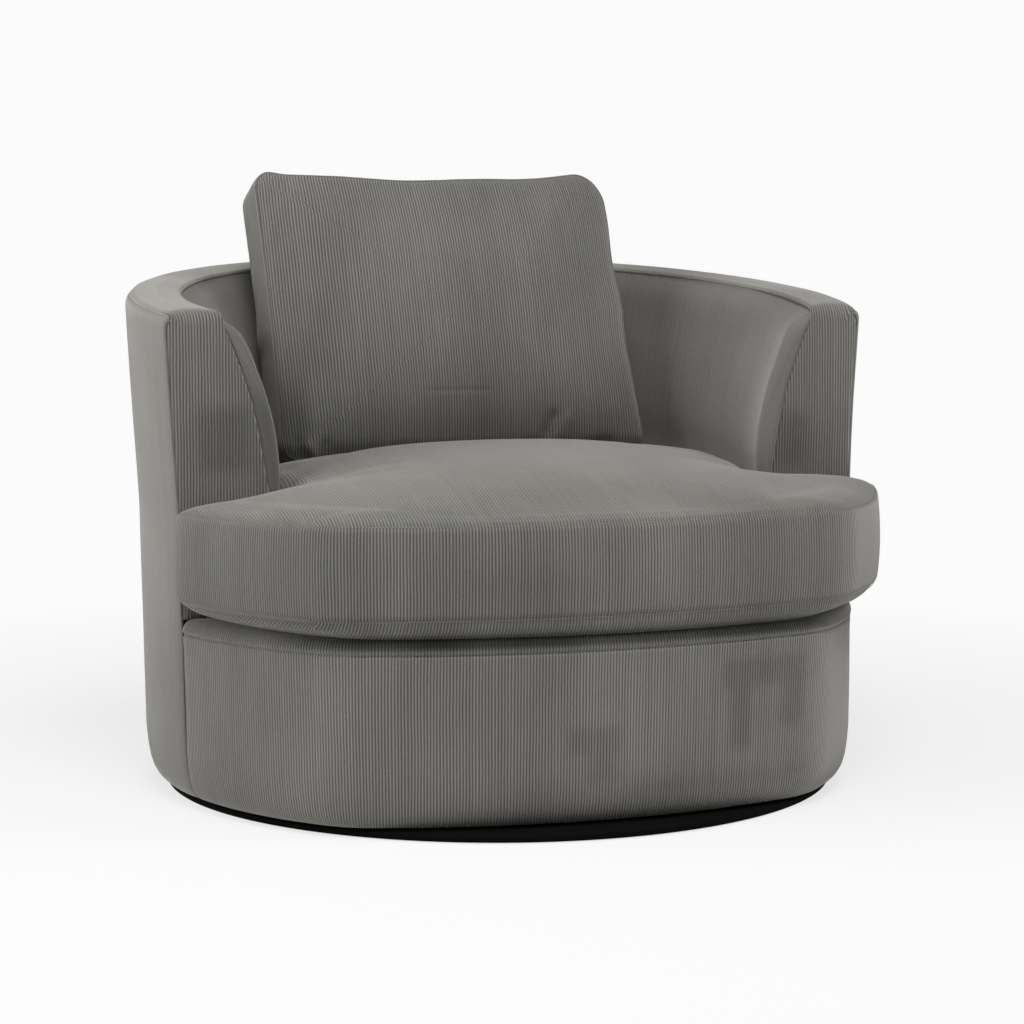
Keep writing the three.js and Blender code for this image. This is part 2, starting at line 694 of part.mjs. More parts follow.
/** Section of the rail under the rim. */
function topRailSection(station) {
  const drop = rimPadThickness + gap;
  const inner = innerRimRadius + uprightOffset;
  const outer = barrelFaceRadius(rimAt(station, innerRimRadius) - drop - railThickness) - railInset;
  const top = (r) => [r, rimAt(station, r) - drop];
  const bottom = (r) => [r, rimAt(station, r) - drop - railThickness];
  return [bottom(inner), bottom(outer), top(outer), top(inner)];
}

/** One post between the bottom panel and the top rail, flat on its barrel facet. */
function uprightSolid(facet) {
  const turn = barrelStartTurn + (facet + 0.5) * facetTurn;
  const [nx, ny] = [Math.cos(turn), Math.sin(turn)];
  const stations = [-1, 1].map((side) => ({
    x: -ny * side * uprightWidth / 2, y: barrelY + nx * side * uprightWidth / 2, nx, ny,
  }));
  const headDrop = rimPadThickness + railThickness + 2 * gap;
  return sweptSolid(stations, (station) => {
    const outerAt = (z) => (barrelFaceRadius(z) - railInset) * facetShare - uprightEase;
    const innerAt = (r) => (r + uprightOffset) * facetShare + uprightEase;
    const face = innerFace(station).slice(0, -1);
    const outerHead = rimAt(station, outerAt(rimFrontHeight)) - headDrop;
    const innerHeadRadius = innerAt(innerRimRadius);
    const innerHead = rimAt(station, innerHeadRadius) - headDrop;
    return [
      [innerAt(innerSeatRadius), frameFoot], ...face.map(([r, z]) => [innerAt(r), z]),
      [innerHeadRadius, innerHead], [outerAt(outerHead), outerHead], [outerAt(frameFoot), frameFoot],
    ];
  });
}

/** Zigzag springs from the front rail to the seat rail. */
function buildSprings() {
  const springs = new THREE.Group();
  const wire = new THREE.Shape(Array.from({ length: springSides }, (_, i) => {
    const turn = i * fullTurn / springSides;
    return new THREE.Vector2(springWireRadius * Math.cos(turn), springWireRadius * Math.sin(turn));
  }));
  const z = seatRailTop + gap + springWireRadius;
  const frontRadius = bodyCurve.frontCentreY - bodyFrontY - apronThickness - gap - railThickness / 2;
  const backRadius = (seatRailInnerRadius + platformRadius) / 2;
  for (let i = 0; i < springCount; i++) {
    const x = (i - (springCount - 1) / 2) * springSpacing;
    const frontY = bodyCurve.frontCentreY - Math.sqrt(frontRadius ** 2 - x ** 2);
    const backY = barrelY + Math.sqrt(backRadius ** 2 - x ** 2);
    const points = [new THREE.Vector3(x, frontY, z), new THREE.Vector3(x, frontY + springEndRun, z)];
    const pitch = (backY - frontY - 2 * springEndRun) / (springBends + 1);
    for (let j = 1; j <= springBends; j++) {
      const side = j % 2 ? 1 : -1;
      points.push(new THREE.Vector3(x + side * springHalfWidth, frontY + springEndRun + j * pitch, z));
    }
    points.push(new THREE.Vector3(x, backY - springEndRun, z), new THREE.Vector3(x, backY, z));
    const extrudePath = new THREE.CatmullRomCurve3(points);
    const spring = new THREE.ExtrudeGeometry(wire, { steps: springSteps, bevelEnabled: false, extrudePath });
    addPiece(springs, `seat_spring_${i + 1}`, spring, "steel");
  }
  return springs;
}

/** Plan outline of a shape that is wide in front of the arms and fits the barrel behind them. */
function notchedOutline(half, sideRadius, notchY, rearRadius, outerCorner, rearSteps) {
  const sideX = (y) => Math.sqrt(sideRadius ** 2 - (y - barrelY) ** 2);
  const right = half.filter((s) => s.y < notchY - outerCorner).map((s) => [s.x, s.y]);
  if (outerCorner) {
    const start = notchY - outerCorner;
    const [corner, end] = [[sideX(notchY), notchY], [sideX(notchY) - outerCorner, notchY]];
    right.push(...roundedCorner([sideX(start), start], corner, end, earSteps));
  } else {
    right.push([sideX(notchY), notchY]);
  }
  const startTurn = Math.asin((notchY - barrelY) / rearRadius);
  const rear = arcStations(0, barrelY, rearRadius, startTurn, quarterTurn, rearSteps, false);
  right.push(...rear.map((s) => [s.x, s.y]));
  const left = right.slice(1, -1).reverse().map(([x, y]) => [-x, y]);
  return [...right, ...left];
}

/** Boards, platform, covers and pads of the body. */
function buildUpholstery() {
  const body = new THREE.Group();
  const barrel = barrelStations(0, barrelFacets);
  addPiece(body, "seat_deck", deckSolid(), "cambric");
  const outerBoard = sweptSolid(barrel, (station) => {
    const foot = barrelFaceRadius(frameFoot) - coverLining;
    const head = barrelFaceRadius(rimAt(station, innerRimRadius) - rimPadThickness) - coverLining;
    const top = (r) => [r, rimAt(station, r) - rimPadThickness - gap];
    return [[foot, frameFoot], top(head), top(head - boardThickness), [foot - boardThickness, frameFoot]];
  });
  addPiece(body, "outer_board", keepBehind(outerBoard, armPanelBack + gap), "fibreboard");
  const innerBoard = sweptSolid(barrel, (station) => innerLayer(station, innerBoardOffset, boardThickness));
  addPiece(body, "inner_board", keepBehind(innerBoard, armPanelBack + gap), "fibreboard");
  const innerPad = sweptSolid(barrel, (station) => innerLayer(station, 0, padThickness));
  addPiece(body, "inner_back", keepBehind(innerPad, armPanelBack + gap), "fabric");
  addPiece(body, "outer_cover", keepBehind(sweptSolid(barrel, outerCoverSection), armFrontY), "fabric");
  addPiece(body, "rim_cap", keepBehind(sweptSolid(barrel, rimCapSection), armPanelBack + gap), "fabric");
  const apron = sweptSolid(frontStations, apronSection);
  addPiece(body, "front_apron", keepInFront(apron, armFrontY - gap), "fabric");
  addPiece(body, "arm_front_right", armPanelSolid(1), "fabric");
  addPiece(body, "arm_front_left", armPanelSolid(-1), "fabric");
  return body;
}

/** Padded platform that the seat cushion lies on. */
function deckSolid() {
  const inset = apronLipDepth + gap;
  const half = frontHalf.map((s) => ({ ...s, x: s.x - s.nx * inset, y: s.y - s.ny * inset }));
  const notchY = armPanelBack + deckNotchDepth;
  const backRadius = platformRadius * facetShare;
  const outline = notchedOutline(half, barrelRadius - inset, notchY, backRadius, 0, deckSteps);
  return boardSolid(outline, deckTop - deckThickness, deckThickness, 0, 0);
}

/** A layer outside the barrel's inner face, from the deck to the rim's inner seam. */
function innerLayer(station, offset, thickness) {
  const lower = [[innerSeatRadius, padFoot], ...innerFace(station).slice(0, -1)];
  const faceAt = (out) => {
    const head = innerRimRadius + out;
    return [...lower.map(([r, z]) => [r + out, z]), [head, rimAt(station, head) - rimInnerSeamDrop - gap]];
  };
  return [...faceAt(offset), ...faceAt(offset + thickness).reverse()];
}

/** Inside of a hem, as [distance inside the face, height], for a cover of some thickness. */
function hemLining(thickness) {
  const foot = apronBottom + hemThickness;
  return hemInnerShares.map(([inShare, upShare]) => [
    -thickness - (hemDepth - thickness) * inShare, foot + (frameFoot - foot) * upShare,
  ]);
}

/** Section of the barrel's outer cover, turned in at its foot. */
function outerCoverSection(station) {
  const outside = ([d, z]) => [barrelFaceRadius(z) + d, z];
  const head = rimFace(station);
  const top = (r) => [r, rimAt(station, r) - rimOuterSeamDrop - gap];
  return [
    ...hemOuterShares.map((share) => outside(hemPoint(share, hemHeight, apronBottom))),
    top(head), top(head - coverThickness), ...hemLining(coverThickness).map(outside),
  ];
}

/** Section of the front apron: turned in at its foot, lapped over the front rail at its top. */
function apronSection() {
  const outside = ([d, z]) => [barrelFaceRadius(z) - barrelRadius + d, z];
  const lipFoot = apronTop - apronLipThickness;
  const inner = hemLining(apronThickness);
  const round = rimOuterRoundShares.map(([inShare, downShare]) => outside([
    -apronTopRound * inShare, apronTop - apronTopRound * downShare,
  ]));
  return [
    ...hemOuterShares.map((share) => outside(hemPoint(share, hemHeight, apronBottom))), ...round,
    [-apronLipDepth, apronTop], [-apronLipDepth, lipFoot], [-apronThickness, lipFoot], ...inner,
  ];
}

/** Section of the padded cap on the rim. */
function rimCapSection(station) {
  const outer = rimFace(station);
  const at = ([r, drop]) => [r, rimAt(station, r) - drop];
  const boardOuter = innerRimRadius + innerBoardOffset + boardThickness;
  const coverInner = outer - coverLining;
  const outerRound = rimOuterRoundShares.map(([inShare, downShare]) => [
    outer - rimOuterSeamDrop * inShare, rimOuterSeamDrop * downShare,
  ]);
  const innerRound = rimInnerRoundShares.map(([inShare, downShare]) => [
    innerRimRadius + rimInnerSeamDrop * inShare, rimInnerSeamDrop * downShare,
  ]);
  return [
    ...outerRound, ...innerRound, [boardOuter, rimInnerSeamDrop], [boardOuter + gap, rimPadThickness],
    [coverInner, rimPadThickness], [coverInner, rimOuterSeamDrop],
  ].map(at);
}

/** Padded panel on the front of one arm, rounded at its edges. */
function armPanelSolid(side) {
  const outlineAt = (y, inset) => {
    const across = (r) => Math.sqrt(r ** 2 - (y - barrelY) ** 2);
    const top = rimHeight(y);
    const outer = barrelFaceRadius(rimFrontHeight - rimOuterSeamDrop);
    const station = { x: 0, y, nx: 0, ny: 0 };
    const inner = [[innerSeatRadius, padFoot], ...innerFace(station)];
    const besideCover = (z) => [(barrelFaceRadius(z) - coverLining) * facetShare, z];
    const round = rimOuterRoundShares.map(([inShare, downShare]) => [
      outer - rimOuterSeamDrop * inShare, top - rimOuterSeamDrop * downShare,
    ]);
    const innerRound = rimInnerRoundShares.slice(0, -1).map(([inShare, downShare]) => [
      innerRimRadius + rimInnerSeamDrop * inShare, top - rimInnerSeamDrop * downShare,
    ]);
    const outline = [
      ...inner.reverse(), besideCover(padFoot), besideCover(top - rimOuterSeamDrop), ...round, ...innerRound,
    ];
    return insetOutline(outline.map(([r, z]) => [across(r), z]), inset);
  };
  const layers = [[armPanelBack, 0], [armFrontY + armPanelEdge, 0], [armFrontY, armPanelEdge]];
  const stations = layers.map(([y, inset]) => ({ x: 0, y, nx: side, ny: 0, inset }));
  return sweptSolid(stations, ({ y, inset }) => outlineAt(y, inset));
}

/** Height of the seat cushion's top inside its rounded edge. */
function seatSurface(x, y, edgeShare) {
  const { lerp, smoothstep } = THREE.MathUtils;
  const side = lerp(seatFrontEdgeRise, seatSideEdgeRise, smoothstep(y, armFrontY, seatNestStartY));
  const printShare = smoothstep(y, seatNestStartY, seatNestStartY + seatNestDepth);
  const edge = lerp(side, seatRearEdgeRise, printShare);
  const frontReach = seatCrownCentreY - seatFrontY - seatCrownFrontMargin;
  const reachY = y < seatCrownCentreY ? frontReach : seatCrownBackReach;
  const reachX = innerSeatRadius + seatCrownSideMargin;
  const spread = (x / reachX) ** 2 + ((y - seatCrownCentreY) / reachY) ** 2;
  const crown = Math.max(0, 1 - spread) ** crownPowerShare;
  return seatTopSeam + edge * edgeShare + (seatCrown - edge) * crown;
}

/** Rings of the seat cushion, or of its lining or filling when moved in by a distance. */
function seatCushionSolid(inset, topShares, bottomShares, bandShares) {
  const half = halfCurve(planCurve(seatSideRadius, seatCornerRadius, seatFrontY), frontEndTurn);
  const notchY = armFrontY - cushionRest;
  const outline = notchedOutline(half, seatSideRadius, notchY, seatRearRadius, seatEarCorner, seatRearSteps);
  const seam = insetOutline(outline, seatSeamInset + inset);
  const band = insetOutline(outline, inset);
  const bottom = deckTop + seatUndersideRise;
  const scaled = (share) => seam.map(([x, y]) => [x * share, seatFoldY + (y - seatFoldY) * share]);
  const topRings = topShares.map((share) => {
    const edgeShare = Math.min(1, Math.sqrt((1 - share) / (1 - seatTopShares[1])));
    return scaled(share).map(([x, y]) => [x, y, seatSurface(x, y, edgeShare) - inset]);
  });
  const bottomRings = bottomShares.map(([share, upShare]) => {
    const z = bottom + (seatBottomSeam - bottom) * upShare + inset;
    return scaled(share).map(([x, y]) => [x, y, z]);
  });
  const bandRings = bandShares.map(([upShare, bulgeShare]) => {
    const z = seatBottomSeam + inset + (seatTopSeam - seatBottomSeam - 2 * inset) * upShare;
    return (bulgeShare ? band : seam).map(([x, y]) => [x, y, z]);
  });
  const foot = [0, seatFoldY, bottom + inset];
  const head = [0, seatFoldY, seatSurface(0, seatFoldY, 1) - inset];
  return stackedSolid(foot, [...bottomRings, ...bandRings, ...topRings], head);
}

/** A band round the back of the seat cushion between two radii, at the middle of its side. */
function rearBand(innerRadius, outerRadius, height, halfTurn, steps) {
  const z = (seatBottomSeam + seatTopSeam) / 2;
  const stations = [];
  for (let i = 0; i <= steps; i++) {
    const turn = quarterTurn - halfTurn + 2 * halfTurn * i / steps;
    stations.push({ x: 0, y: barrelY, nx: Math.cos(turn), ny: Math.sin(turn) });
  }
  return sweptSolid(stations, () => [
    [innerRadius, z - height / 2], [outerRadius, z - height / 2],
    [outerRadius, z + height / 2], [innerRadius, z + height / 2],
  ]);
}

/** Loose seat cushion: cover, foam, zip and the zip's slider. */
function buildSeatCushion() {
  const cushion = new THREE.Group();
  const band = [[0, 0], [0.5, 1], [1, 0]];
  const ends = [[0, 0], [1, 0]];
  const outside = seatCushionSolid(0, seatTopShares, seatBottomShares, band);
  const lining = seatCushionSolid(coverWall, seatLiningTopShares, seatLiningBottomShares, ends);
  const slotTurn = seatZipHalfTurn + gap / seatRearRadius;
  const slotInner = seatRearRadius - 2 * coverWall;
  const slotHeight = zipHeight + 2 * gap;
  const slot = rearBand(slotInner, seatRearRadius + overrun, slotHeight, slotTurn, zipSteps);
  addPiece(cushion, "seat_cushion_cover", cut(outside, lining, slot), "fabric");
  const foam = seatCushionSolid(coverWall + gap, seatLiningTopShares, seatLiningBottomShares, ends);
  addPiece(cushion, "seat_cushion_foam", foam, "foam");
  const tapeInner = seatRearRadius - coverWall + zipInset;
  const tapeOuter = tapeInner + zipThickness;
  const tape = rearBand(tapeInner, tapeOuter, zipHeight, seatZipHalfTurn, zipSteps);
  addPiece(cushion, "seat_cushion_zip", tape, "zip");
  const sliderInner = tapeOuter + gap;
  const sliderHalfTurn = sliderLength / 2 / seatRearRadius;
  const slider = rearBand(sliderInner, sliderInner + sliderThickness, sliderHeight, sliderHalfTurn, 1);
  const homeTurn = seatZipHalfTurn - 2 * sliderHalfTurn;
  slider.translate(0, -barrelY, 0).rotateZ(homeTurn).translate(0, barrelY, 0);
  addPiece(cushion, "seat_zip_slider", slider, "steel");
  return cushion;
}

/** Outline of the back cushion, drawn in between its corners except where it rests. */
function backOutline(inset) {
  const [halfWidth, halfHeight] = [backWidth / 2 - inset, backHeight / 2 - inset];
  const corner = backCorner;
  const outline = [];
  const sides = [[1, 0, backDrawIn], [0, 1, backDrawIn], [-1, 0, backDrawIn], [0, -1, 0]];
  sides.forEach(([ox, oz, drawIn], i) => {
    const along = ox ? halfHeight - corner : halfWidth - corner;
    const out = ox ? halfWidth : halfHeight;
    for (let j = 0; j < backSideSteps; j++) {
      const t = -1 + 2 * (j + 0.5) / backSideSteps;
      const depth = out - drawIn * (1 - t * t);
      outline.push([ox * depth - oz * along * t, oz * depth + ox * along * t]);
    }
    const [nx, nz] = sides[(i + 1) % 4];
    const centre = [(halfWidth - corner) * (ox + nx), (halfHeight - corner) * (oz + nz)];
    for (const turnShare of backCornerShares) {
      const turn = quarterTurn * (i + turnShare);
      outline.push([centre[0] + corner * Math.cos(turn), centre[1] + corner * Math.sin(turn)]);
    }
  });
  return outline;
}

/** The back cushion about its own middle, its front face towards -Y, moved in by a distance. */
function backCushionSolid(inset, ringShares) {
  const seam = backOutline(inset);
  const middle = backOutline(inset - backGussetBulge);
  const halfDepth = backGusset / 2 - inset / 2;
  const face = (share, side, crown) => {
    const rise = (crown - inset / 2) * (1 - share ** 2) ** pillowPowerShare;
    return seam.map(([x, z]) => [x * share, side * (halfDepth + rise), z * share]);
  };
  const front = ringShares.map((share) => face(share, -1, backFrontCrown)).reverse();
  const rear = ringShares.map((share) => face(share, 1, backRearCrown));
  const gussetLines = [[seam, -halfDepth], [middle, 0], [seam, halfDepth]];
  const gusset = gussetLines.map(([ring, y]) => ring.map(([x, z]) => [x, y, z]));
  const frontTip = [0, -halfDepth - backFrontCrown + inset / 2, 0];
  const rearTip = [0, halfDepth + backRearCrown - inset / 2, 0];
  return stackedSolid(frontTip, [...front, ...gusset, ...rear], rearTip);
}

/** Place of the back cushion's middle where it leans on the barrel and stands on the seat. */
function settledBackPlace(geometry) {
  const leaning = geometry.clone().rotateX(-backLean);
  const points = leaning.attributes.position;
  let [shiftY, shiftZ] = [0, seatTopSeam + backHeight / 2];
  for (let pass = 0; pass < settlePasses; pass++) {
    let lift = -chairDepth;
    for (let i = 0; i < points.count; i++) {
      const [x, y] = [points.getX(i) + backOffsetX, points.getY(i) + shiftY];
      lift = Math.max(lift, seatSurface(x, y, 1) - points.getZ(i));
    }
    shiftZ = lift + cushionRest;
    let reach = chairDepth;
    for (let i = 0; i < points.count; i++) {
      const [x, z] = [points.getX(i) + backOffsetX, points.getZ(i) + shiftZ];
      const y = barrelWallY(x, z);
      reach = Math.min(reach, y - points.getY(i));
    }
    shiftY = reach - cushionRest;
  }
  return new THREE.Vector3(backOffsetX, shiftY, shiftZ);
}

/** How far back the barrel's inner face lies beside a place across the chair and a height. */
function barrelWallY(x, z) {
  const wallAt = (radius) => barrelY + Math.sqrt(Math.max(0, (radius * facetShare) ** 2 - x ** 2));
  let y = wallAt(innerSeatRadius);
  for (let pass = 0; pass < settlePasses; pass++) {
    const radius = Math.hypot(x, y - barrelY);
    const station = { y: barrelY, ny: (y - barrelY) / radius };
    const face = innerFace(station);
    if (z > rimAt(station, innerRimRadius)) {
      return chairDepth;
    }
    const upper = face.findIndex(([, height]) => height > z);
    if (upper === 0) {
      return wallAt(innerSeatRadius);
    }
    if (upper < 0) {
      y = wallAt(innerRimRadius);
    } else {
      const [[r0, z0], [r1, z1]] = [face[upper - 1], face[upper]];
      y = wallAt(THREE.MathUtils.mapLinear(z, z0, z1, r0, r1));
    }
  }
  return y;
}

/** Loose back cushion: cover, filling, zip and the zip's slider. */
function buildBackCushion() {
  const cushion = new THREE.Group();
  const outside = backCushionSolid(0, backRingShares);
  const wallFoot = -backHeight / 2 - backGussetBulge;
  const bar = (length, thickness, height, bottom) => {
    const block = new THREE.BoxGeometry(length, height, thickness);
    return block.translate(0, 0, bottom + thickness / 2);
  };
  const slot = bar(backZipLength + 2 * gap, 2 * coverWall, zipHeight + 2 * gap, wallFoot - coverWall / 2);
  const lining = backCushionSolid(coverWall, backLiningRingShares);
  addPiece(cushion, "back_cushion_cover", cut(outside, lining, slot), "fabric");
  addPiece(cushion, "back_cushion_filling", backCushionSolid(coverWall + gap, backLiningRingShares), "foam");
  const tapeBottom = wallFoot + coverWall - zipInset - zipThickness;
  addPiece(cushion, "back_cushion_zip", bar(backZipLength, zipThickness, zipHeight, tapeBottom), "zip");
  const slider = bar(sliderLength, sliderThickness, sliderHeight, tapeBottom - gap - sliderThickness);
  slider.translate(-backZipLength / 2 + sliderLength, 0, 0);
  addPiece(cushion, "back_zip_slider", slider, "steel");
  cushion.rotation.x = -backLean;
  cushion.position.copy(settledBackPlace(outside));
  return cushion;
}

const chair = new THREE.Group();
chair.add(buildBase(), buildBallRing(), buildUpperPlate(), buildFrame(), buildSprings());
chair.add(buildUpholstery(), buildSeatCushion(), buildBackCushion());
export default chair;
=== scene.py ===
import json
import logging
import math
from dataclasses import dataclass, field
from enum import Enum

import bmesh
import bpy
import numpy as np
from mathutils import Matrix, Vector


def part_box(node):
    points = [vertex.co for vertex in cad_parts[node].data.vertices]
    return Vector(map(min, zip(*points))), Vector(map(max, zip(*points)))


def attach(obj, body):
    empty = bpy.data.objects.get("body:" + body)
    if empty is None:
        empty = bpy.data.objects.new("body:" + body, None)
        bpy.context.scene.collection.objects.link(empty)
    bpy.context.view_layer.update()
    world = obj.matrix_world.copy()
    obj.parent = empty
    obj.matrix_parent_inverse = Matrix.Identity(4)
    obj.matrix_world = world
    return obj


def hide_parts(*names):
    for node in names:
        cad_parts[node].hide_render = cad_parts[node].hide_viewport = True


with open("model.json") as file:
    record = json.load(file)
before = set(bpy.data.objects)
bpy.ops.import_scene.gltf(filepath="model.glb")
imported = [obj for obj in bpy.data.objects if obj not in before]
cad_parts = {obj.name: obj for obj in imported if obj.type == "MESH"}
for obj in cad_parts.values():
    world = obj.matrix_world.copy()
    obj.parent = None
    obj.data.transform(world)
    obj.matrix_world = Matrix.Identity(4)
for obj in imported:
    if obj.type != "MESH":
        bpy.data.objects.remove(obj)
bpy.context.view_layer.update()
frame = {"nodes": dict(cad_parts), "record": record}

MM = 0.001
SEAM_STEPS = (1.3, 3.2, 6.5)
EDGE_DEPTH = 4.0
DEPTH_GROWS = (8.0, 30.0)
WAVES = 7
PAPER_WHITE = (0.965, 0.965, 0.965, 1)
STITCH = (4.4, 3.2, 0.9)
TEETH = (2.2, 1.5, 2.4)
log = logging.getLogger("armchair")


def ease(start: float, end: float, x: np.ndarray) -> np.ndarray:
    """Smooth step from 0 at start to 1 at end."""
    t = np.clip((np.asarray(x, float) - start) / (end - start), 0.0, 1.0)
    return t * t * (3.0 - 2.0 * t)


def graded(start: float, end: float, step: float, fine_start: bool = True, fine_end: bool = True) -> np.ndarray:
    """Places between two seams, closer together beside the seams.

    Args:
        start: First place.
        end: Last place.
        step: Distance between places far from the ends.
        fine_start: Whether the first place is a seam.
        fine_end: Whether the last place is a seam.

    Returns:
        The places in order, as distances from the first to the last.
    """
    *close, last = SEAM_STEPS
    length = abs(end - start)
    low = last if fine_start else 0.0
    high = length - (last if fine_end else 0.0)
    count = max(2, round((high - low) / step) + 1)
    places = [0.0, *close] if fine_start else []
    places += list(np.linspace(low, high, count))
    places += [length - c for c in reversed(close)] + [length] if fine_end else []
    return start + math.copysign(1.0, end - start) * np.array(places)


def grid_normals(points: np.ndarray) -> np.ndarray:
    """Unit normals of a grid of points."""
    normals = np.cross(np.gradient(points, axis=0), np.gradient(points, axis=1))
    return normals / np.maximum(np.linalg.norm(normals, axis=2, keepdims=True), 1e-9)


def run_lengths(points: np.ndarray, axis: int) -> np.ndarray:
    """Distance along a grid of points, from its first row or column."""
    steps = np.linalg.norm(np.diff(points, axis=axis), axis=2)
    start = np.zeros_like(np.take(steps, [0], axis=axis))
    return np.concatenate([start, np.cumsum(steps, axis=axis)], axis=axis)


def waviness(points: np.ndarray, height: float, scale: float, seed: int) -> np.ndarray:
    """A calm, uneven height over points, the sum of a few long waves.

    Args:
        points: Places in millimetres.
        height: Largest height of the waves together.
        scale: Length of the shortest wave.
        seed: Picks the directions of the waves.

    Returns:
        One height for each point.
    """
    random = np.random.default_rng(seed)
    total = np.zeros(points.shape[:-1])
    for i in range(WAVES):
        direction = random.normal(size=3)
        direction /= np.linalg.norm(direction)
        phase = points @ direction * 2 * math.pi / (scale * (1 + 0.5 * i))
        total += np.sin(phase + random.uniform(0, 6.3))
    return total * height / (WAVES - 2)


class Skin:
    """Quads gathered from grids of points, each with its own cloth coordinates."""

    def __init__(self) -> None:
        """Starts with no grid."""
        self.points: list[np.ndarray] = []
        self.quads: list[np.ndarray] = []
        self.cloth: list[np.ndarray] = []
        self.count = 0

    def add(self, points: np.ndarray, cloth: np.ndarray) -> None:
        """Adds the quads of a grid of points with a cloth place in millimetres at each point."""
        rows, columns = points.shape[:2]
        index = np.arange(rows * columns).reshape(rows, columns)
        corners = [index[:-1, :-1], index[1:, :-1], index[1:, 1:], index[:-1, 1:]]
        quads = np.stack([c.ravel() for c in corners], axis=1)
        self.points.append(points.reshape(-1, 3))
        self.quads.append(quads + self.count)
        self.cloth.append(cloth.reshape(-1, 2)[quads])
        self.count += rows * columns

    def add_padded(self, points: np.ndarray, cloth: np.ndarray, depth: np.ndarray, calm: np.ndarray) -> None:
        """Adds a grid, a lining behind it, and the walls between their edges.

        Args:
            points: Outer face, with its normals outwards.
            cloth: Cloth place at each point.
            depth: Thickness at each point far from the edges, beside which it is thinner.
            calm: The outer face before its seams were drawn in, from which the thickness is measured.
        """
        across, along = run_lengths(calm, 0), run_lengths(calm, 1)
        near = np.minimum(np.minimum(across, across[-1:] - across), np.minimum(along, along[:, -1:] - along))
        depth = np.minimum(depth, EDGE_DEPTH) + np.maximum(depth - EDGE_DEPTH, 0.0) * ease(*DEPTH_GROWS, near)
        inner = calm - grid_normals(calm) * depth[..., None]
        self.add(points, cloth)
        self.add(inner, cloth)
        for take in (np.s_[0, :], np.s_[-1, :], np.s_[:, 0], np.s_[:, -1]):
            wall = np.stack([points[take], inner[take]])
            self.add(wall, np.stack([cloth[take]] * 2))

    def weld(self) -> tuple[np.ndarray, np.ndarray, np.ndarray]:
        """Joins points that lie on each other.

        Returns:
            The points, the quads and the cloth place at each corner of each quad.
        """
        points = np.concatenate(self.points)
        keys = np.round(points, 3)
        _, first, inverse = np.unique(keys, axis=0, return_index=True, return_inverse=True)
        quads = inverse.reshape(-1)[np.concatenate(self.quads)]
        cloth = np.concatenate(self.cloth)
        whole = np.array([len(set(q)) == 4 for q in quads.tolist()])
        return points[first], quads[whole], cloth[whole]

    def build(self, name: str) -> bpy.types.Object:
        """Makes one closed object in metres, its faces outwards, with the UV map "cloth"."""
        points, quads, cloth = self.weld()
        return object_from(name, points, quads, cloth)


def object_from(name: str, points: np.ndarray, quads: np.ndarray, cloth: np.ndarray) -> bpy.types.Object:
    """Makes an object from quads.

    Args:
        name: Name of the object.
        points: Places in millimetres.
        quads: Four point numbers for each face.
        cloth: Cloth place in millimetres at each corner of each face.

    Returns:
        The object, linked to the scene, with smooth faces that point outwards.
    """
    mesh = bpy.data.meshes.new(name)
    mesh.from_pydata((points * MM).tolist(), [], quads.tolist())
    layer = mesh.uv_layers.new(name="cloth")
    layer.data.foreach_set("uv", (cloth * MM).astype(np.float32).ravel())
    work = bmesh.new()
    work.from_mesh(mesh)
    bmesh.ops.recalc_face_normals(work, faces=work.faces)
    if work.calc_volume(signed=True) < 0:
        bmesh.ops.reverse_faces(work, faces=work.faces)
    work.to_mesh(mesh)
    work.free()
    mesh.shade_smooth()
    piece = bpy.data.objects.new(name, mesh)
    bpy.context.scene.collection.objects.link(piece)
    return piece


def places_of(mesh: bpy.types.Mesh) -> np.ndarray:
    """Places of a mesh's points, in millimetres."""
    values = np.empty(3 * len(mesh.vertices), np.float32)
    mesh.vertices.foreach_get("co", values)
    return values.reshape(-1, 3).astype(float) / MM


def coordinates(piece: bpy.types.Object) -> np.ndarray:
    """Places of an object's points, in millimetres."""
    return places_of(piece.data)


def place(piece: bpy.types.Object, points: np.ndarray) -> None:
    """Puts an object's points at places in millimetres."""
    piece.data.vertices.foreach_set("co", (points * MM).astype(np.float32).ravel())
    piece.data.update()


def evaluated(piece: bpy.types.Object) -> np.ndarray:
    """Places of an object's points after its modifiers, in millimetres."""
    shown = piece.evaluated_get(bpy.context.evaluated_depsgraph_get())
    places = places_of(shown.to_mesh())
    shown.to_mesh_clear()
    return places


def plain_mesh(piece: bpy.types.Object) -> bpy.types.Mesh:
    """The mesh that an object's modifiers make of it; the modifiers are removed."""
    graph = bpy.context.evaluated_depsgraph_get()
    mesh = bpy.data.meshes.new_from_object(piece.evaluated_get(graph), depsgraph=graph)
    piece.modifiers.clear()
    return mesh


def subdivide(piece: bpy.types.Object) -> None:
    """Smooths an object with one level of subdivision and keeps the result as its mesh."""
    modifier = piece.modifiers.new("smooth", "SUBSURF")
    modifier.levels = modifier.render_levels = 1
    modifier.uv_smooth = "NONE"
    piece.data = plain_mesh(piece)
    piece.data.shade_smooth()


def smoothed(piece: bpy.types.Object, values: np.ndarray, passes: int) -> np.ndarray:
    """Evens out one vector for each point of an object along its edges, pass after pass."""
    ends = np.empty(2 * len(piece.data.edges), np.int32)
    piece.data.edges.foreach_get("vertices", ends)
    one, other = ends.reshape(-1, 2).T
    count = np.bincount(ends, minlength=len(values))[:, None]
    for _ in range(passes):
        total = np.zeros_like(values)
        np.add.at(total, one, values[other])
        np.add.at(total, other, values[one])
        values = 0.5 * values + 0.5 * total / count
    return values


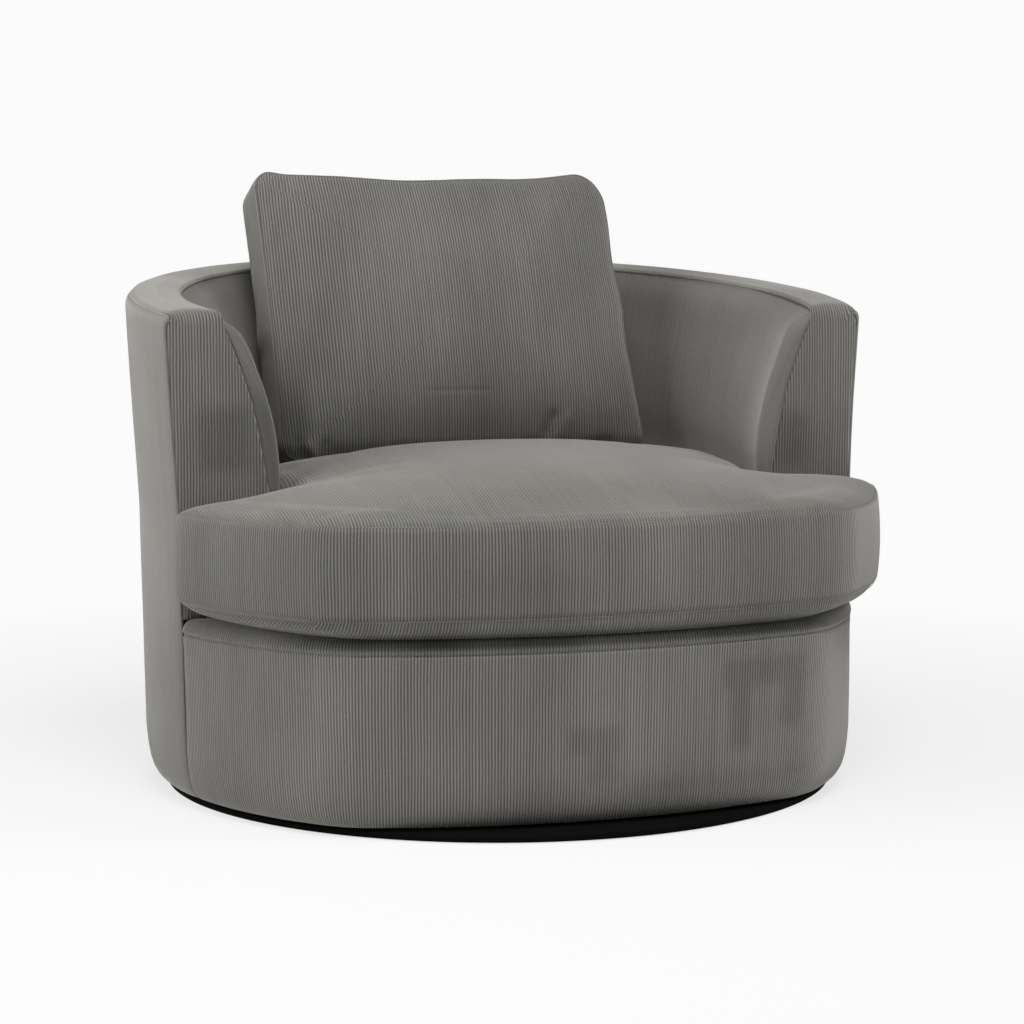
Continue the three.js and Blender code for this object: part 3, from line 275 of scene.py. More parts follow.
@dataclass(frozen=True)
class Puff:
    """How a cushion is filled by the cloth simulation."""

    pressure: float
    reach: float
    slack: float
    frames: int = 20
    passes: int = 6

    def fill(self, piece: bpy.types.Object, held: np.ndarray) -> np.ndarray:
        """Fills a cushion and returns how far each point moved, no further than the reach.

        Args:
            piece: The cushion at rest.
            held: From 0, free, to 1, held still, for each point.

        Returns:
            One movement for each point, in millimetres.
        """
        start = coordinates(piece)
        group = piece.vertex_groups.new(name="held")
        for i in np.flatnonzero(held > 0.01).tolist():
            group.add([i], float(held[i]), "REPLACE")
        modifier = piece.modifiers.new("filling", "CLOTH")
        cloth = {
            "quality": 6, "mass": 0.35, "tension_stiffness": 12.0, "compression_stiffness": 12.0,
            "shear_stiffness": 4.0, "bending_stiffness": 0.6, "air_damping": 2.0, "use_pressure": True,
            "uniform_pressure_force": self.pressure, "vertex_group_mass": "held", "shrink_min": -self.slack,
        }
        for name, value in cloth.items():
            setattr(modifier.settings, name, value)
        modifier.settings.effector_weights.gravity = 0.0
        modifier.point_cache.frame_start = 1
        modifier.point_cache.frame_end = self.frames
        for step in range(1, self.frames + 1):
            bpy.context.scene.frame_set(step)
        moved = smoothed(piece, evaluated(piece) - start, self.passes)
        piece.modifiers.clear()
        piece.vertex_groups.clear()
        bpy.context.scene.frame_set(1)
        size = np.linalg.norm(moved, axis=1, keepdims=True)
        log.info("%s swells by up to %.1f mm", piece.name, size.max())
        return moved * (self.reach * np.tanh(size / self.reach) / np.maximum(size, 1e-6))


def add_node(
    tree: bpy.types.NodeTree, kind: str, inputs: dict | None = None, **settings: object,
) -> bpy.types.Node:
    """Adds a node to a tree.

    Args:
        tree: The tree.
        kind: Full node type.
        inputs: Value or socket for each input, by name or number.
        **settings: Properties of the node.

    Returns:
        The new node.
    """
    made = tree.nodes.new(kind)
    for key, value in settings.items():
        setattr(made, key, value)
    for key, value in (inputs or {}).items():
        if isinstance(value, bpy.types.NodeSocket):
            tree.links.new(value, made.inputs[key])
        else:
            made.inputs[key].default_value = value
    return made


class Graph:
    """A short way to write the nodes of a material or of the world."""

    def __init__(self, shaded: bpy.types.Material | bpy.types.World) -> None:
        """Empties the nodes of a material or the world and adds its output."""
        shaded.use_nodes = True
        self.tree = shaded.node_tree
        self.tree.nodes.clear()
        self.output = self.tree.nodes.new("ShaderNodeOutput" + type(shaded).__name__)

    def node(self, kind: str, inputs: dict | None = None, **settings: object) -> bpy.types.Node:
        """Adds a shader node, its type given without the ShaderNode prefix."""
        return add_node(self.tree, "ShaderNode" + kind, inputs, **settings)

    def math(self, operation: str, *values: object) -> bpy.types.NodeSocket:
        """Adds a Math node and returns its result."""
        inputs = dict(enumerate(values))
        return self.node("Math", inputs, operation=operation).outputs[0]

    def mix(self, share: object, first: object, second: object) -> bpy.types.NodeSocket:
        """Mixes two colours by a share and returns the result."""
        inputs = {"Factor": share, 6: first, 7: second}
        return self.node("Mix", inputs, data_type="RGBA").outputs[2]

    def noise(self, vector: object, scale: float, detail: float = 2.0) -> bpy.types.NodeSocket:
        """Adds a noise texture and returns its value, about one half on average."""
        inputs = {"Vector": vector, "Scale": scale, "Detail": detail, "Roughness": 0.55}
        return self.node("TexNoise", inputs).outputs["Fac"]

    def stretched(self, vector: object, scale: tuple[float, float, float]) -> bpy.types.NodeSocket:
        """Scales a vector along each axis."""
        return self.node("Mapping", {"Vector": vector, "Scale": scale}).outputs[0]

    def about_one(self, value: object, range_of: float, base: object = 1.0) -> bpy.types.NodeSocket:
        """Adds a value that is one half on average to a base, as a change up or down."""
        return self.math("MULTIPLY_ADD", self.math("SUBTRACT", value, 0.5), range_of, base)

    def surface(self, inputs: dict) -> None:
        """Ends the graph in one Principled surface."""
        self.end(self.node("BsdfPrincipled", inputs))

    def end(self, shader: bpy.types.Node) -> None:
        """Ends the graph in a shader."""
        self.tree.links.new(shader.outputs[0], self.output.inputs["Surface"])


@dataclass(frozen=True)
class CordFinish:
    """Ribbed cord with a brushed pile: fine ribs, tufts along them, shade where it is stroked, and painted light
    and shade read from a point attribute.
    """

    name: str = "ribbed_cord"
    slot: str = "cord_fabric"
    pitch: float = 4.1
    ridge: tuple[float, float, float] = (0.167, 0.163, 0.151)
    valley: tuple[float, float, float] = (0.057, 0.055, 0.050)
    relief: float = 0.6
    sheen: float = 0.42
    sway: float = 3.2
    flank: tuple[float, float] = (0.06, 0.86)
    worn_level: float = 0.62
    tuft_scale: tuple[float, float, float] = (900, 260, 1)
    fibre_scale: tuple[float, float, float] = (3200, 2200, 1)
    stroke_scale: tuple[float, float, float] = (7, 7, 3.2)
    uneven: dict[str, float] = field(default_factory=lambda: {
        "fibres": 0.35, "ribs": 0.12, "strokes": 0.62, "clouds": 0.26,
    })

    def material(self) -> bpy.types.Material:
        """Makes the material. It reads the UV map "cloth" and two point attributes: the pile's tone together with
        the painted light and shade, and how far the ribs are worn.
        """
        material = bpy.data.materials.new(self.name)
        g = Graph(material)
        cloth = g.node("UVMap", uv_map="cloth").outputs[0]
        parts = g.node("SeparateXYZ", {0: cloth})
        sway = g.noise(g.stretched(cloth, (30, 9, 1)), 1.0)
        phase = g.math("DIVIDE", g.about_one(sway, self.sway * MM, parts.outputs[0]), self.pitch * MM)
        wave = g.math("MULTIPLY", g.math("PINGPONG", phase, 0.5), 2.0)
        inputs = {"Value": wave, "From Min": self.flank[0], "From Max": self.flank[1]}
        ridge = g.node("MapRange", inputs, interpolation_type="SMOOTHSTEP").outputs[0]
        worn = g.node("Attribute", attribute_name="worn").outputs["Fac"]
        ridge = g.math("MULTIPLY_ADD", g.math("SUBTRACT", self.worn_level, ridge), worn, ridge)
        tufts = g.noise(g.stretched(cloth, self.tuft_scale), 1.0, 3.0)
        fibres = g.noise(g.stretched(cloth, self.fibre_scale), 1.0, 2.0)
        rib_seed = g.node("CombineXYZ", {0: g.math("FLOOR", phase)}).outputs[0]
        rib = g.node("TexWhiteNoise", {"Vector": rib_seed}, noise_dimensions="3D").outputs[0]
        lit = g.math("MULTIPLY", ridge, g.math("MULTIPLY_ADD", tufts, 1.1, 0.42))
        lit = g.about_one(fibres, self.uneven["fibres"], lit)
        lit = g.about_one(rib, self.uneven["ribs"], lit)
        colour = g.mix(lit, (*self.valley, 1), (*self.ridge, 1))
        spot = g.node("TexCoord").outputs["Object"]
        shade = g.about_one(g.noise(g.stretched(spot, self.stroke_scale), 1.0, 3.0), self.uneven["strokes"])
        shade = g.about_one(g.noise(spot, 3.1, 1.0), self.uneven["clouds"], shade)
        # Adds the point attribute: the pile's stroked tone together with the painted light and shade.
        shade = g.math("ADD", shade, g.node("Attribute", attribute_name="pile_and_painted_light").outputs["Fac"])
        warm = g.node("HueSaturation", {"Color": colour, "Value": shade}).outputs[0]
        height = g.math("MULTIPLY_ADD", tufts, 0.35, ridge)
        height = g.math("MULTIPLY_ADD", fibres, 0.16, height)
        bump = g.node("Bump", {"Height": height, "Distance": self.relief * MM, "Strength": 0.85}).outputs[0]
        g.surface({
            "Base Color": warm, "Roughness": 0.88, "Normal": bump, "Sheen Weight": self.sheen,
            "Sheen Roughness": 0.38, "Sheen Tint": (0.93, 0.9, 0.86, 1), "Specular IOR Level": 0.18,
        })
        return material


class Grain(Enum):
    """What the surface of a plain finish is broken up by."""

    BRUSHED = (1.0, 1.0, 30.0)
    WOOD = (6.0, 70.0, 70.0)
    CELLS = (260.0, 260.0, 260.0)
    WOVEN = (900.0, 900.0, 900.0)
    SPECKLED = (180.0, 180.0, 180.0)


@dataclass(frozen=True)
class PlainFinish:
    """A hard or unseen finish with two tones and a fine relief."""

    name: str
    slot: str
    light: tuple[float, float, float]
    dark: tuple[float, float, float]
    grain: Grain
    roughness: float
    metallic: float = 0.0
    relief: float = 0.2
    specular: float = 0.5

    def material(self) -> bpy.types.Material:
        """Makes the material from the place on the object."""
        material = bpy.data.materials.new(self.name)
        g = Graph(material)
        spot = g.node("TexCoord").outputs["Object"]
        fine = g.noise(g.stretched(spot, self.grain.value), 1.0, 4.0)
        wide = g.noise(spot, 9.0, 3.0)
        tone = g.about_one(wide, 0.8, fine)
        colour = g.mix(tone, (*self.dark, 1), (*self.light, 1))
        bump = g.node("Bump", {"Height": fine, "Distance": self.relief * MM, "Strength": 0.6}).outputs[0]
        gloss = g.about_one(wide, 0.25, self.roughness)
        g.surface({"Base Color": colour, "Roughness": gloss, "Metallic": self.metallic, "Normal": bump,
                   "Specular IOR Level": self.specular})
        return material


CORD = CordFinish()
# The board is darker than plain black paint: partly its own colour, partly painted shade from the body above it.
BLACK_BOARD = PlainFinish("painted_black_board", "black_board", (0.004, 0.004, 0.004), (0.002, 0.002, 0.002),
                          Grain.SPECKLED, 0.85, specular=0.02)
NYLON = PlainFinish("moulded_nylon", "nylon", (0.03, 0.03, 0.032), (0.015, 0.015, 0.016), Grain.SPECKLED, 0.5)
STEEL = PlainFinish("zinc_plated_steel", "steel", (0.62, 0.63, 0.64), (0.4, 0.41, 0.43), Grain.BRUSHED,
                    0.34, 1.0, 0.05)
PLYWOOD = PlainFinish("birch_plywood", "plywood", (0.62, 0.43, 0.24), (0.42, 0.26, 0.13), Grain.WOOD, 0.62)
FIBREBOARD = PlainFinish("brown_fibreboard", "fibreboard", (0.36, 0.22, 0.11), (0.23, 0.13, 0.06),
                         Grain.SPECKLED, 0.8)
CAMBRIC = PlainFinish("black_cambric", "cambric", (0.022, 0.022, 0.024), (0.008, 0.008, 0.009),
                      Grain.WOVEN, 0.92, 0.0, 0.15)
FOAM = PlainFinish("cut_foam", "foam", (0.86, 0.8, 0.6), (0.66, 0.58, 0.4), Grain.CELLS, 0.95, 0.0, 0.5)
# The thread is paler than the cord: partly its own colour, partly a painted highlight along the seams.
THREAD = PlainFinish("sewing_thread", "cord_fabric", (0.24, 0.226, 0.207), (0.15, 0.141, 0.13), Grain.WOVEN, 0.8,
                     specular=0.2)
ZIP = PlainFinish("zip_tape", "zip", (0.05, 0.047, 0.045), (0.022, 0.021, 0.02), Grain.WOVEN, 0.7)


def material_of(finish: CordFinish | PlainFinish) -> bpy.types.Material:
    """The material of a finish, made once."""
    return bpy.data.materials.get(finish.name) or finish.material()


def coat(piece: bpy.types.Object, finish: CordFinish | PlainFinish) -> None:
    """Gives a piece the material of a finish and no other."""
    piece.data.materials.clear()
    piece.data.materials.append(material_of(finish))


def dress(piece: bpy.types.Object, finish: CordFinish | PlainFinish, body: str, *nodes: str) -> None:
    """Gives a piece its material and its body, and hides the CAD nodes that it stands for.

    Args:
        piece: The finished piece.
        finish: Its finish.
        body: The body that it rides on.
        *nodes: Nodes that it replaces.
    """
    coat(piece, finish)
    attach(piece, body)
    if nodes:
        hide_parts(*nodes)
    log.info("%s: %d faces on %s", piece.name, len(piece.data.polygons), body)


def paint_pile(piece: bpy.types.Object, pile_and_painted_light: np.ndarray, worn: np.ndarray) -> None:
    """Stores how much lighter or darker the pile lies at each point, together with the painted light and shade,
    and how far its ribs are worn.
    """
    for name, values in (("pile_and_painted_light", pile_and_painted_light), ("worn", worn)):
        layer = piece.data.attributes.new(name, "FLOAT", "POINT")
        layer.data.foreach_set("value", np.broadcast_to(values, len(piece.data.vertices)).astype(np.float32))


@dataclass(frozen=True)
class ThreadRow:
    """Short stitches or zip teeth along lines, repeated by one Geometry Nodes tree."""

    name: str
    spacing: float
    length: float
    width: float
    seed: int

    def tree(self) -> bpy.types.NodeTree:
        """The tree, made once and shared by every row."""
        tree = bpy.data.node_groups.get("thread_row")
        if tree:
            return tree
        tree = bpy.data.node_groups.new("thread_row", "GeometryNodeTree")
        sockets = {"Lines": "Geometry", "Spacing": "Float", "Length": "Float", "Width": "Float", "Seed": "Int",
                   "Thread": "Material"}
        for name, kind in sockets.items():
            tree.interface.new_socket(name, in_out="INPUT", socket_type="NodeSocket" + kind)
        tree.interface.new_socket("Row", in_out="OUTPUT", socket_type="NodeSocketGeometry")
        given = add_node(tree, "NodeGroupInput").outputs
        curve = add_node(tree, "GeometryNodeMeshToCurve", {"Mesh": given["Lines"]}).outputs[0]
        spots = add_node(tree, "GeometryNodeResampleCurve", {"Curve": curve, "Length": given["Spacing"]},
                         mode="LENGTH").outputs[0]
        tangent = add_node(tree, "GeometryNodeInputTangent").outputs[0]
        turn = add_node(tree, "FunctionNodeAlignRotationToVector", {"Vector": tangent}, axis="Z").outputs[0]
        uneven = add_node(tree, "FunctionNodeRandomValue", {2: 0.82, 3: 1.12, "Seed": given["Seed"]}).outputs[1]
        length = add_node(tree, "ShaderNodeMath", {0: given["Length"], 1: uneven}, operation="MULTIPLY").outputs[0]
        size = add_node(tree, "ShaderNodeCombineXYZ", {0: given["Width"], 1: given["Width"], 2: length}).outputs[0]
        bead = add_node(tree, "GeometryNodeMeshUVSphere", {"Segments": 6, "Rings": 4, "Radius": 0.5}).outputs[0]
        row = add_node(tree, "GeometryNodeInstanceOnPoints",
                       {"Points": spots, "Instance": bead, "Rotation": turn, "Scale": size}).outputs[0]
        solid = add_node(tree, "GeometryNodeRealizeInstances", {0: row}).outputs[0]
        smooth = add_node(tree, "GeometryNodeSetShadeSmooth", {0: solid}).outputs[0]
        shown = add_node(tree, "GeometryNodeSetMaterial", {0: smooth, "Material": given["Thread"]}).outputs[0]
        add_node(tree, "NodeGroupOutput", {0: shown})
        return tree

    def build(self, lines: list[tuple[np.ndarray, bool]], finish: PlainFinish, body: str) -> None:
        """Builds and dresses the row.

        Args:
            lines: Points of each line in millimetres, and whether it is closed.
            finish: Finish of the thread.
            body: The body that the row rides on.
        """
        points: list[list[float]] = []
        edges: list[tuple[int, int]] = []
        for line, closed in lines:
            first = len(points)
            points += (line * MM).tolist()
            edges += [(i, i + 1) for i in range(first, len(points) - 1)]
            edges += [(len(points) - 1, first)] if closed else []
        mesh = bpy.data.meshes.new(self.name)
        mesh.from_pydata(points, edges, [])
        piece = bpy.data.objects.new(self.name, mesh)
        bpy.context.scene.collection.objects.link(piece)
        modifier = piece.modifiers.new("row", "NODES")
        modifier.node_group = self.tree()
        values = {
            "Spacing": self.spacing * MM, "Length": self.length * MM, "Width": self.width * MM, "Seed": self.seed,
            "Thread": material_of(finish),
        }
        for socket in modifier.node_group.interface.items_tree:
            if socket.name in values:
                modifier[socket.identifier] = values[socket.name]
        piece.data = plain_mesh(piece)
        dress(piece, finish, body)


@dataclass(frozen=True)
class Barrel:
    """The shape that the covers of the barrel body share."""

    axis_y: float = -31.9
    foot_radius: float = 499.0
    flare: float = 0.04
    foot: float = 17.0
    arm_front: float = -169.9
    arm_top: float = 667.0
    slope: float = 0.1098
    outer_drop: float = 20.0
    seam_turn: float = 48.0
    inner_drop: float = 6.0
    seat_radius: float = 372.0
    rim_radius: float = 446.0
    slope_start: float = 420.0
    deck: float = 258.3
    outer_round: float = 3.0
    top_round: float = 24.0
    waist: tuple[tuple[float, float], ...] = (
        (17, 0.0), (81, 1.0), (170, -0.5), (255, -2.6), (396, -5.6), (510, -2.8), (622, -1.0), (679, -0.6))
    right_side: tuple[tuple[float, float], ...] = (
        (17, 0), (60, 2), (91, 3), (147, 3), (234, 5.4), (330, 3.4), (396, 2), (428, 2.5), (475, 3.8), (533, 4.6),
        (604, 4.4), (652, 4.2), (720, 4.2))

    def face(self, z: np.ndarray) -> np.ndarray:
        """Radius of the outer face at a height."""
        return self.foot_radius + self.flare * (z - self.foot) + np.interp(z, *np.transpose(self.waist))

    def drawn_in(self, points: np.ndarray) -> np.ndarray:
        """Points of a cover with the right side of the body drawn in, as it stands in the photograph."""
        x, y, z = np.moveaxis(points, -1, 0)
        moved = points.copy()
        amount = np.interp(z, *np.transpose(self.right_side)) * (1 - ease(-110, 160, y))
        moved[..., 0] -= amount * ease(400, 485, x)
        return moved

    def rim(self, y: np.ndarray) -> np.ndarray:
        """Height of the rim's top at a place from front to back."""
        return self.arm_top + self.slope * (y - self.arm_front)

    def turns(self, radius: np.ndarray, setback: np.ndarray, stations: int) -> np.ndarray:
        """Turns of the stations round the barrel.

        Args:
            radius: Radius of each line of the section.
            setback: How far behind the arm fronts each line starts.
            stations: Number of stations.

        Returns:
            One turn for each station and line, from the right arm to the left.
        """
        start = np.arcsin((self.arm_front + setback - self.axis_y) / radius)
        share = np.linspace(0, 1, stations)[:, None]
        return start + share * (math.pi - 2 * start)

    def along(self, radius: np.ndarray, turn: np.ndarray, z: np.ndarray) -> np.ndarray:
        """Points at radii, turns and heights about the barrel's axis."""
        return np.stack([radius * np.cos(turn), self.axis_y + radius * np.sin(turn), z], axis=-1)

    def inner_face(self, z: np.ndarray, top: np.ndarray) -> np.ndarray:
        """Radius of the padded inner face, without its roll at the arms, under a rim of some height."""
        up = np.clip((z - self.slope_start) / (top - 26 - self.slope_start), 0, 1)
        out = 0.36 * up + 0.26 * up**2 + 0.38 * up**3
        return self.seat_radius + (self.rim_radius - self.seat_radius) * out

    def roll(self, drop: np.ndarray, turn: np.ndarray) -> np.ndarray:
        """How far the inner padding stands proud at a depth below the rim, most of all at the arms."""
        drops = [9, 12, 17, 23, 31, 50, 77, 125, 173, 211, 250]
        rolls = [0, 5, 14, 22, 27, 25, 20, 16, 12, 8, 0]
        side = np.abs(np.cos(turn))
        return np.interp(drop, drops, rolls) * (0.12 + 0.88 * ease(0.55, 0.93, side))


BARREL = Barrel()
HEM_TOP = 80.0
HEM = np.array([
    (30, 16), (26, 13.6), (20, 13.3), (14.5, 15.6), (9.6, 20.6), (5.6, 28.4), (2.7, 40), (0.9, 57), (0, HEM_TOP),
])


@dataclass(frozen=True)
class BarrelCovers:
    """The covers of the barrel: outer cover, strip over the arm fronts and rim, padded inner face."""

    stations: int = 190
    row_step: float = 9.0
    edge_rows: int = 7
    cover_depth: float = 9.0
    strip_depth: float = 12.0
    pad_depth: float = 27.0
    wall_run: float = 580.0
    panel_run: float = 400.0
    seam_dip: float = 2.0
    seam_reach: float = 2.2
    edge_dip: float = 6.0
    edge_dip_reach: float = 22.0
    thread_proud: float = 0.5
    panel_swell: float = 3.0
    threads: list[tuple[np.ndarray, bool]] = field(default_factory=list)

    def turned_edge(self, body: np.ndarray, corner: np.ndarray, end: np.ndarray) -> np.ndarray:
        """Rows that turn from the end of a wall round its front edge.

        Args:
            body: Last line of the wall.
            corner: Line where the wall would meet the plane of the arm fronts.
            end: Line in that plane where the rounding ends.

        Returns:
            The rows after the wall's last line.
        """
        share = np.sort(np.concatenate([np.linspace(0, 0.86, self.edge_rows), [0.93, 1.0]]))[1:, None, None]
        return (1 - share) ** 2 * body + 2 * share * (1 - share) * corner + share**2 * end

    def in_seams(self, points: np.ndarray, edges: tuple[bool, bool, bool, bool]) -> np.ndarray:
        """Draws a cover in along the edges that are sewn.

        Args:
            points: The cover's outer face.
            edges: Whether its first row, last row, first column and last column are sewn.

        Returns:
            The face with its sewn edges drawn in.
        """
        across, along = run_lengths(points, 0), run_lengths(points, 1)
        distances = [across, across[-1:] - across, along, along[:, -1:] - along]
        near = np.full(points.shape[:2], 1e3)
        for sewn, distance in zip(edges, distances):
            if sewn:
                near = np.minimum(near, distance)
        dip = self.seam_dip * np.exp(-((near / self.seam_reach) ** 1.3))
        return points - grid_normals(points) * dip[..., None]

    def section_at_front(self, radius: np.ndarray, z: np.ndarray) -> np.ndarray:
        """A section's line on the right arm where it meets the plane of the arm fronts."""
        x = np.sqrt(radius**2 - (BARREL.arm_front - BARREL.axis_y) ** 2)
        return np.stack([x, np.full_like(x, BARREL.arm_front), z], axis=-1)

    def inset(self, line: np.ndarray, distance: np.ndarray) -> np.ndarray:
        """A line in the plane of the arm fronts, moved towards the middle of the wall."""
        step = np.gradient(line, axis=0)
        normal = np.stack([-step[:, 2], np.zeros(len(step)), step[:, 0]], axis=1)
        normal /= np.linalg.norm(normal, axis=1, keepdims=True)
        return line + normal * distance[:, None]

    def both_ends(self, wall: np.ndarray, edge: np.ndarray) -> np.ndarray:
        """A wall from right to left with a front edge before and after it."""
        mirrored = edge * np.array([-1, 1, 1])
        return np.concatenate([edge[::-1], wall, mirrored])

    def rim_section(self) -> tuple[np.ndarray, np.ndarray]:
        """Lines of the strip over the rim, from its outer seam to its inner seam.

        Returns:
            Distance inside the outer seam, as radius and as height above that seam.
        """
        b = BARREL
        outer = np.radians([b.seam_turn, 51, 56, 62, 69, 76, 83, 90])
        width = b.face(b.arm_top) - b.rim_radius
        flat = np.linspace(b.outer_drop, width - b.inner_drop, 8)[1:]
        inner = np.radians([15, 30, 46, 60, 72, 82, 90])
        inward = np.concatenate([
            b.outer_drop * (1 - np.cos(outer)), flat, width - b.inner_drop * (1 - np.sin(inner)),
        ])
        rise = np.concatenate([
            b.outer_drop * np.sin(outer),
            b.outer_drop + 2.0 * np.sin(np.pi * (flat - b.outer_drop) / (flat[-1] - b.outer_drop)),
            b.outer_drop - b.inner_drop * (1 - np.cos(inner)),
        ])
        return inward, rise

    def cover_rows(self) -> tuple[np.ndarray, np.ndarray, np.ndarray, np.ndarray]:
        """Rows of the outer cover from its hem to its seam.

        Returns:
            Height where each row starts, its share of the way up, its rise above the face, its distance inside.
        """
        hem, drop = HEM, BARREL.outer_drop
        share = graded(0, self.wall_run, self.row_step, fine_start=False, fine_end=False)[1:] / self.wall_run
        over = np.radians([BARREL.seam_turn * s for s in (0.2, 0.4, 0.6, 0.78, 0.92, 1)])
        inward = np.concatenate([hem[:, 0], 0 * share, drop * (1 - np.cos(over))])
        rise = np.concatenate([0 * hem[:, 0], 0 * share, drop * np.sin(over)])
        low = np.concatenate([hem[:, 1], HEM_TOP + 0 * share, HEM_TOP + 0 * over])
        return low, np.concatenate([0 * hem[:, 0], share, 1 + 0 * over]), rise, inward

    def cover_edge(self) -> np.ndarray:
        """The outer cover's edge in the plane of the arm fronts, from the hem up to the rim's seam."""
        low, up, rise, inward = self.cover_rows()
        z = low + (BARREL.arm_top - BARREL.outer_drop - low) * up + rise
        line = self.section_at_front(BARREL.face(z) - inward, z) - np.array([BARREL.outer_round, 0, 0])
        line[:, 2] -= self.edge_dip * np.exp(-(((z[-1] - z) / self.edge_dip_reach) ** 2))
        return line

    def outer_cover(self) -> bpy.types.Object:
        """The plain cover round the outside, turned in at its foot and round the arms' edges."""
        b = BARREL
        low, up, rise, inward = self.cover_rows()
        seam_z = b.arm_top - b.outer_drop
        z_front = low + (seam_z - low) * up + rise
        radius_front = b.face(z_front) - inward
        turn = b.turns(radius_front, np.full_like(z_front, b.outer_round), self.stations)
        y = b.axis_y + b.face(seam_z) * np.sin(turn)
        z = low + (b.rim(y) - b.outer_drop - low) * up + rise
        radius = b.face(z) - inward
        wall = b.along(radius, turn, z)
        corner = self.section_at_front(radius_front, z_front)
        end = corner - np.array([b.outer_round, 0, 0])
        edge = self.turned_edge(wall[0], corner, end)
        straight = wall[0] + (corner - wall[0]) * np.linspace(0, 1, len(edge) + 1)[1:, None, None]
        above = ease(250, 270, z_front)[:, None]
        edge = straight + (edge - straight) * above
        tau = np.linspace(0, 1, len(edge) + 1)[1:, None]
        edge[..., 2] -= self.edge_dip * tau**2 * np.exp(-(((z_front[-1] - z_front) / self.edge_dip_reach) ** 2))
        points = b.drawn_in(self.both_ends(wall, edge))
        cloth = np.stack([run_lengths(points, 0), run_lengths(points, 1)], axis=-1)
        middle = len(points) // 2
        cloth[..., 0] = run_lengths(points, 0)[:, 40:41] + 0 * cloth[..., 0]
        cloth[..., 1] = cloth[middle:middle + 1, :, 1]
        calm = points + grid_normals(points) * waviness(points, 0.9, 160, 3)[..., None]
        points = self.in_seams(calm, (True, True, False, True))
        over_seam = points + grid_normals(calm) * self.thread_proud
        start = int(np.searchsorted(z_front[len(HEM):], 110)) + len(HEM)
        seams = (over_seam[:, -1], over_seam[0, start:], over_seam[-1, start:])
        self.threads.extend((line, False) for line in seams)
        skin = Skin()
        skin.add_padded(points, cloth, np.full(points.shape[:2], self.cover_depth), calm)
        return skin.build("outer_cover_cloth")

    def front_panel(self, top: np.ndarray, outer: np.ndarray, inner: np.ndarray) -> np.ndarray:
        """The flat front of the right arm, as rows from the deck up to the line under its rounded top.

        Args:
            top: That line, from the outer to the inner seam.
            outer: Line of the outer seam, from the deck up to the top line.
            inner: Line of the inner seam, likewise.

        Returns:
            The rows, the last of which is the top line.
        """
        across = run_lengths(top[None], 1)[0]
        rows = len(outer)
        u = np.linspace(0, 1, rows)[:, None, None]
        even = np.linspace(0, 1, len(across))[None, :, None]
        v = even + ((across / across[-1])[None, :, None] - even) * ease(0.84, 1.0, u)
        bottom = outer[0] + (inner[0] - outer[0]) * even[0]
        sides = outer[:, None] * (1 - v) + inner[:, None] * v
        ends = bottom[None] * (1 - u) + top[None] * u
        corners = (
            (1 - u) * ((1 - v) * outer[0] + v * inner[0]) + u * ((1 - v) * outer[-1] + v * inner[-1])
        )
        return sides + ends - corners

    def strip(self) -> bpy.types.Object:
        """One strip of cord up the front of one arm, round the rim and down the front of the other."""
        b = BARREL
        inward, rise = self.rim_section()
        seam_z = b.arm_top - b.outer_drop
        z_front = seam_z + rise
        radius_front = b.face(seam_z + rise[0]) - inward
        rounding = b.outer_round + (b.top_round - b.outer_round) * ease(0, 16, inward - inward[0])
        rounding -= (b.top_round - 15) * ease(46, 76, inward)
        setback = rounding.copy()
        setback[-1] = 18
        turn = b.turns(radius_front, setback, self.stations)
        y = b.axis_y + radius_front * np.sin(turn)
        z = b.rim(y) - b.outer_drop + rise
        back = (b.face(b.rim(y)) - b.face(b.arm_top)) * (inward[-1] - inward) / (inward[-1] - inward[0])
        radius = radius_front + back
        wall = b.along(radius, turn, z)
        corner = self.section_at_front(radius_front, z_front)
        end = self.inset(corner, rounding - 1.0)
        below = corner - (rounding - 1.0)[:, None] * np.array([0, 0, 1.0])
        end = np.where(inward[:, None] > 30, below, end)
        beside = np.clip((inward - inward[0]) / 9, 0, 1)[:, None]
        end = (corner - np.array([b.outer_round, 0, 0])) * (1 - beside) + end * beside
        end[-1] = self.arm_seam(np.zeros(1))[0]
        edge = self.turned_edge(wall[0], corner, end)
        tau = np.linspace(0, 1, len(edge) + 1)[1:, None]
        near = np.exp(-(((rise - rise[0]) / 9) ** 2)) * (inward < 20)
        edge[..., 2] -= self.edge_dip * tau**2 * near
        top = edge[-1]
        cover = self.cover_edge()
        inner_line = self.arm_seam(np.linspace(1, 0, 60))
        rows = graded(b.deck, top[0, 2], self.row_step, False, False)
        share = (rows - rows[0]) / (rows[-1] - rows[0])
        x = np.interp(rows, cover[:, 2], cover[:, 0])
        outer = np.stack([x, np.full_like(x, b.arm_front), rows], axis=1)
        inner_z = b.deck + (top[-1, 2] - b.deck) * share
        inner = np.stack([np.interp(inner_z, inner_line[:, 2], inner_line[:, 0]),
                          np.full_like(inner_z, b.arm_front), inner_z], axis=1)
        inner += (top[-1] - inner[-1]) * share[:, None] ** 6
        panel = self.front_panel(top, outer, inner)
        swell = ease(440, 520, panel[..., 2]) * np.sin(np.pi * np.linspace(0, 1, panel.shape[1])) ** 0.7
        panel[..., 1] -= self.panel_swell * swell * (1 - np.linspace(0, 1, len(panel))[:, None] ** 8)
        points = b.drawn_in(self.both_ends(wall, np.concatenate([edge, panel[-2::-1]])))
        lane = np.sqrt(np.maximum(radius_front**2 - (b.arm_front - b.axis_y) ** 2, 1))
        count = len(panel) - 1
        cloth = np.empty((*points.shape[:2], 2))
        cloth[..., 0] = lane
        blend = np.concatenate([np.ones(count), np.linspace(1, 0, len(edge) + 1)[:-1]])[:, None]
        for rows_at in (np.s_[:len(blend)], np.s_[:-len(blend) - 1:-1]):
            x = np.abs(points[rows_at][..., 0])
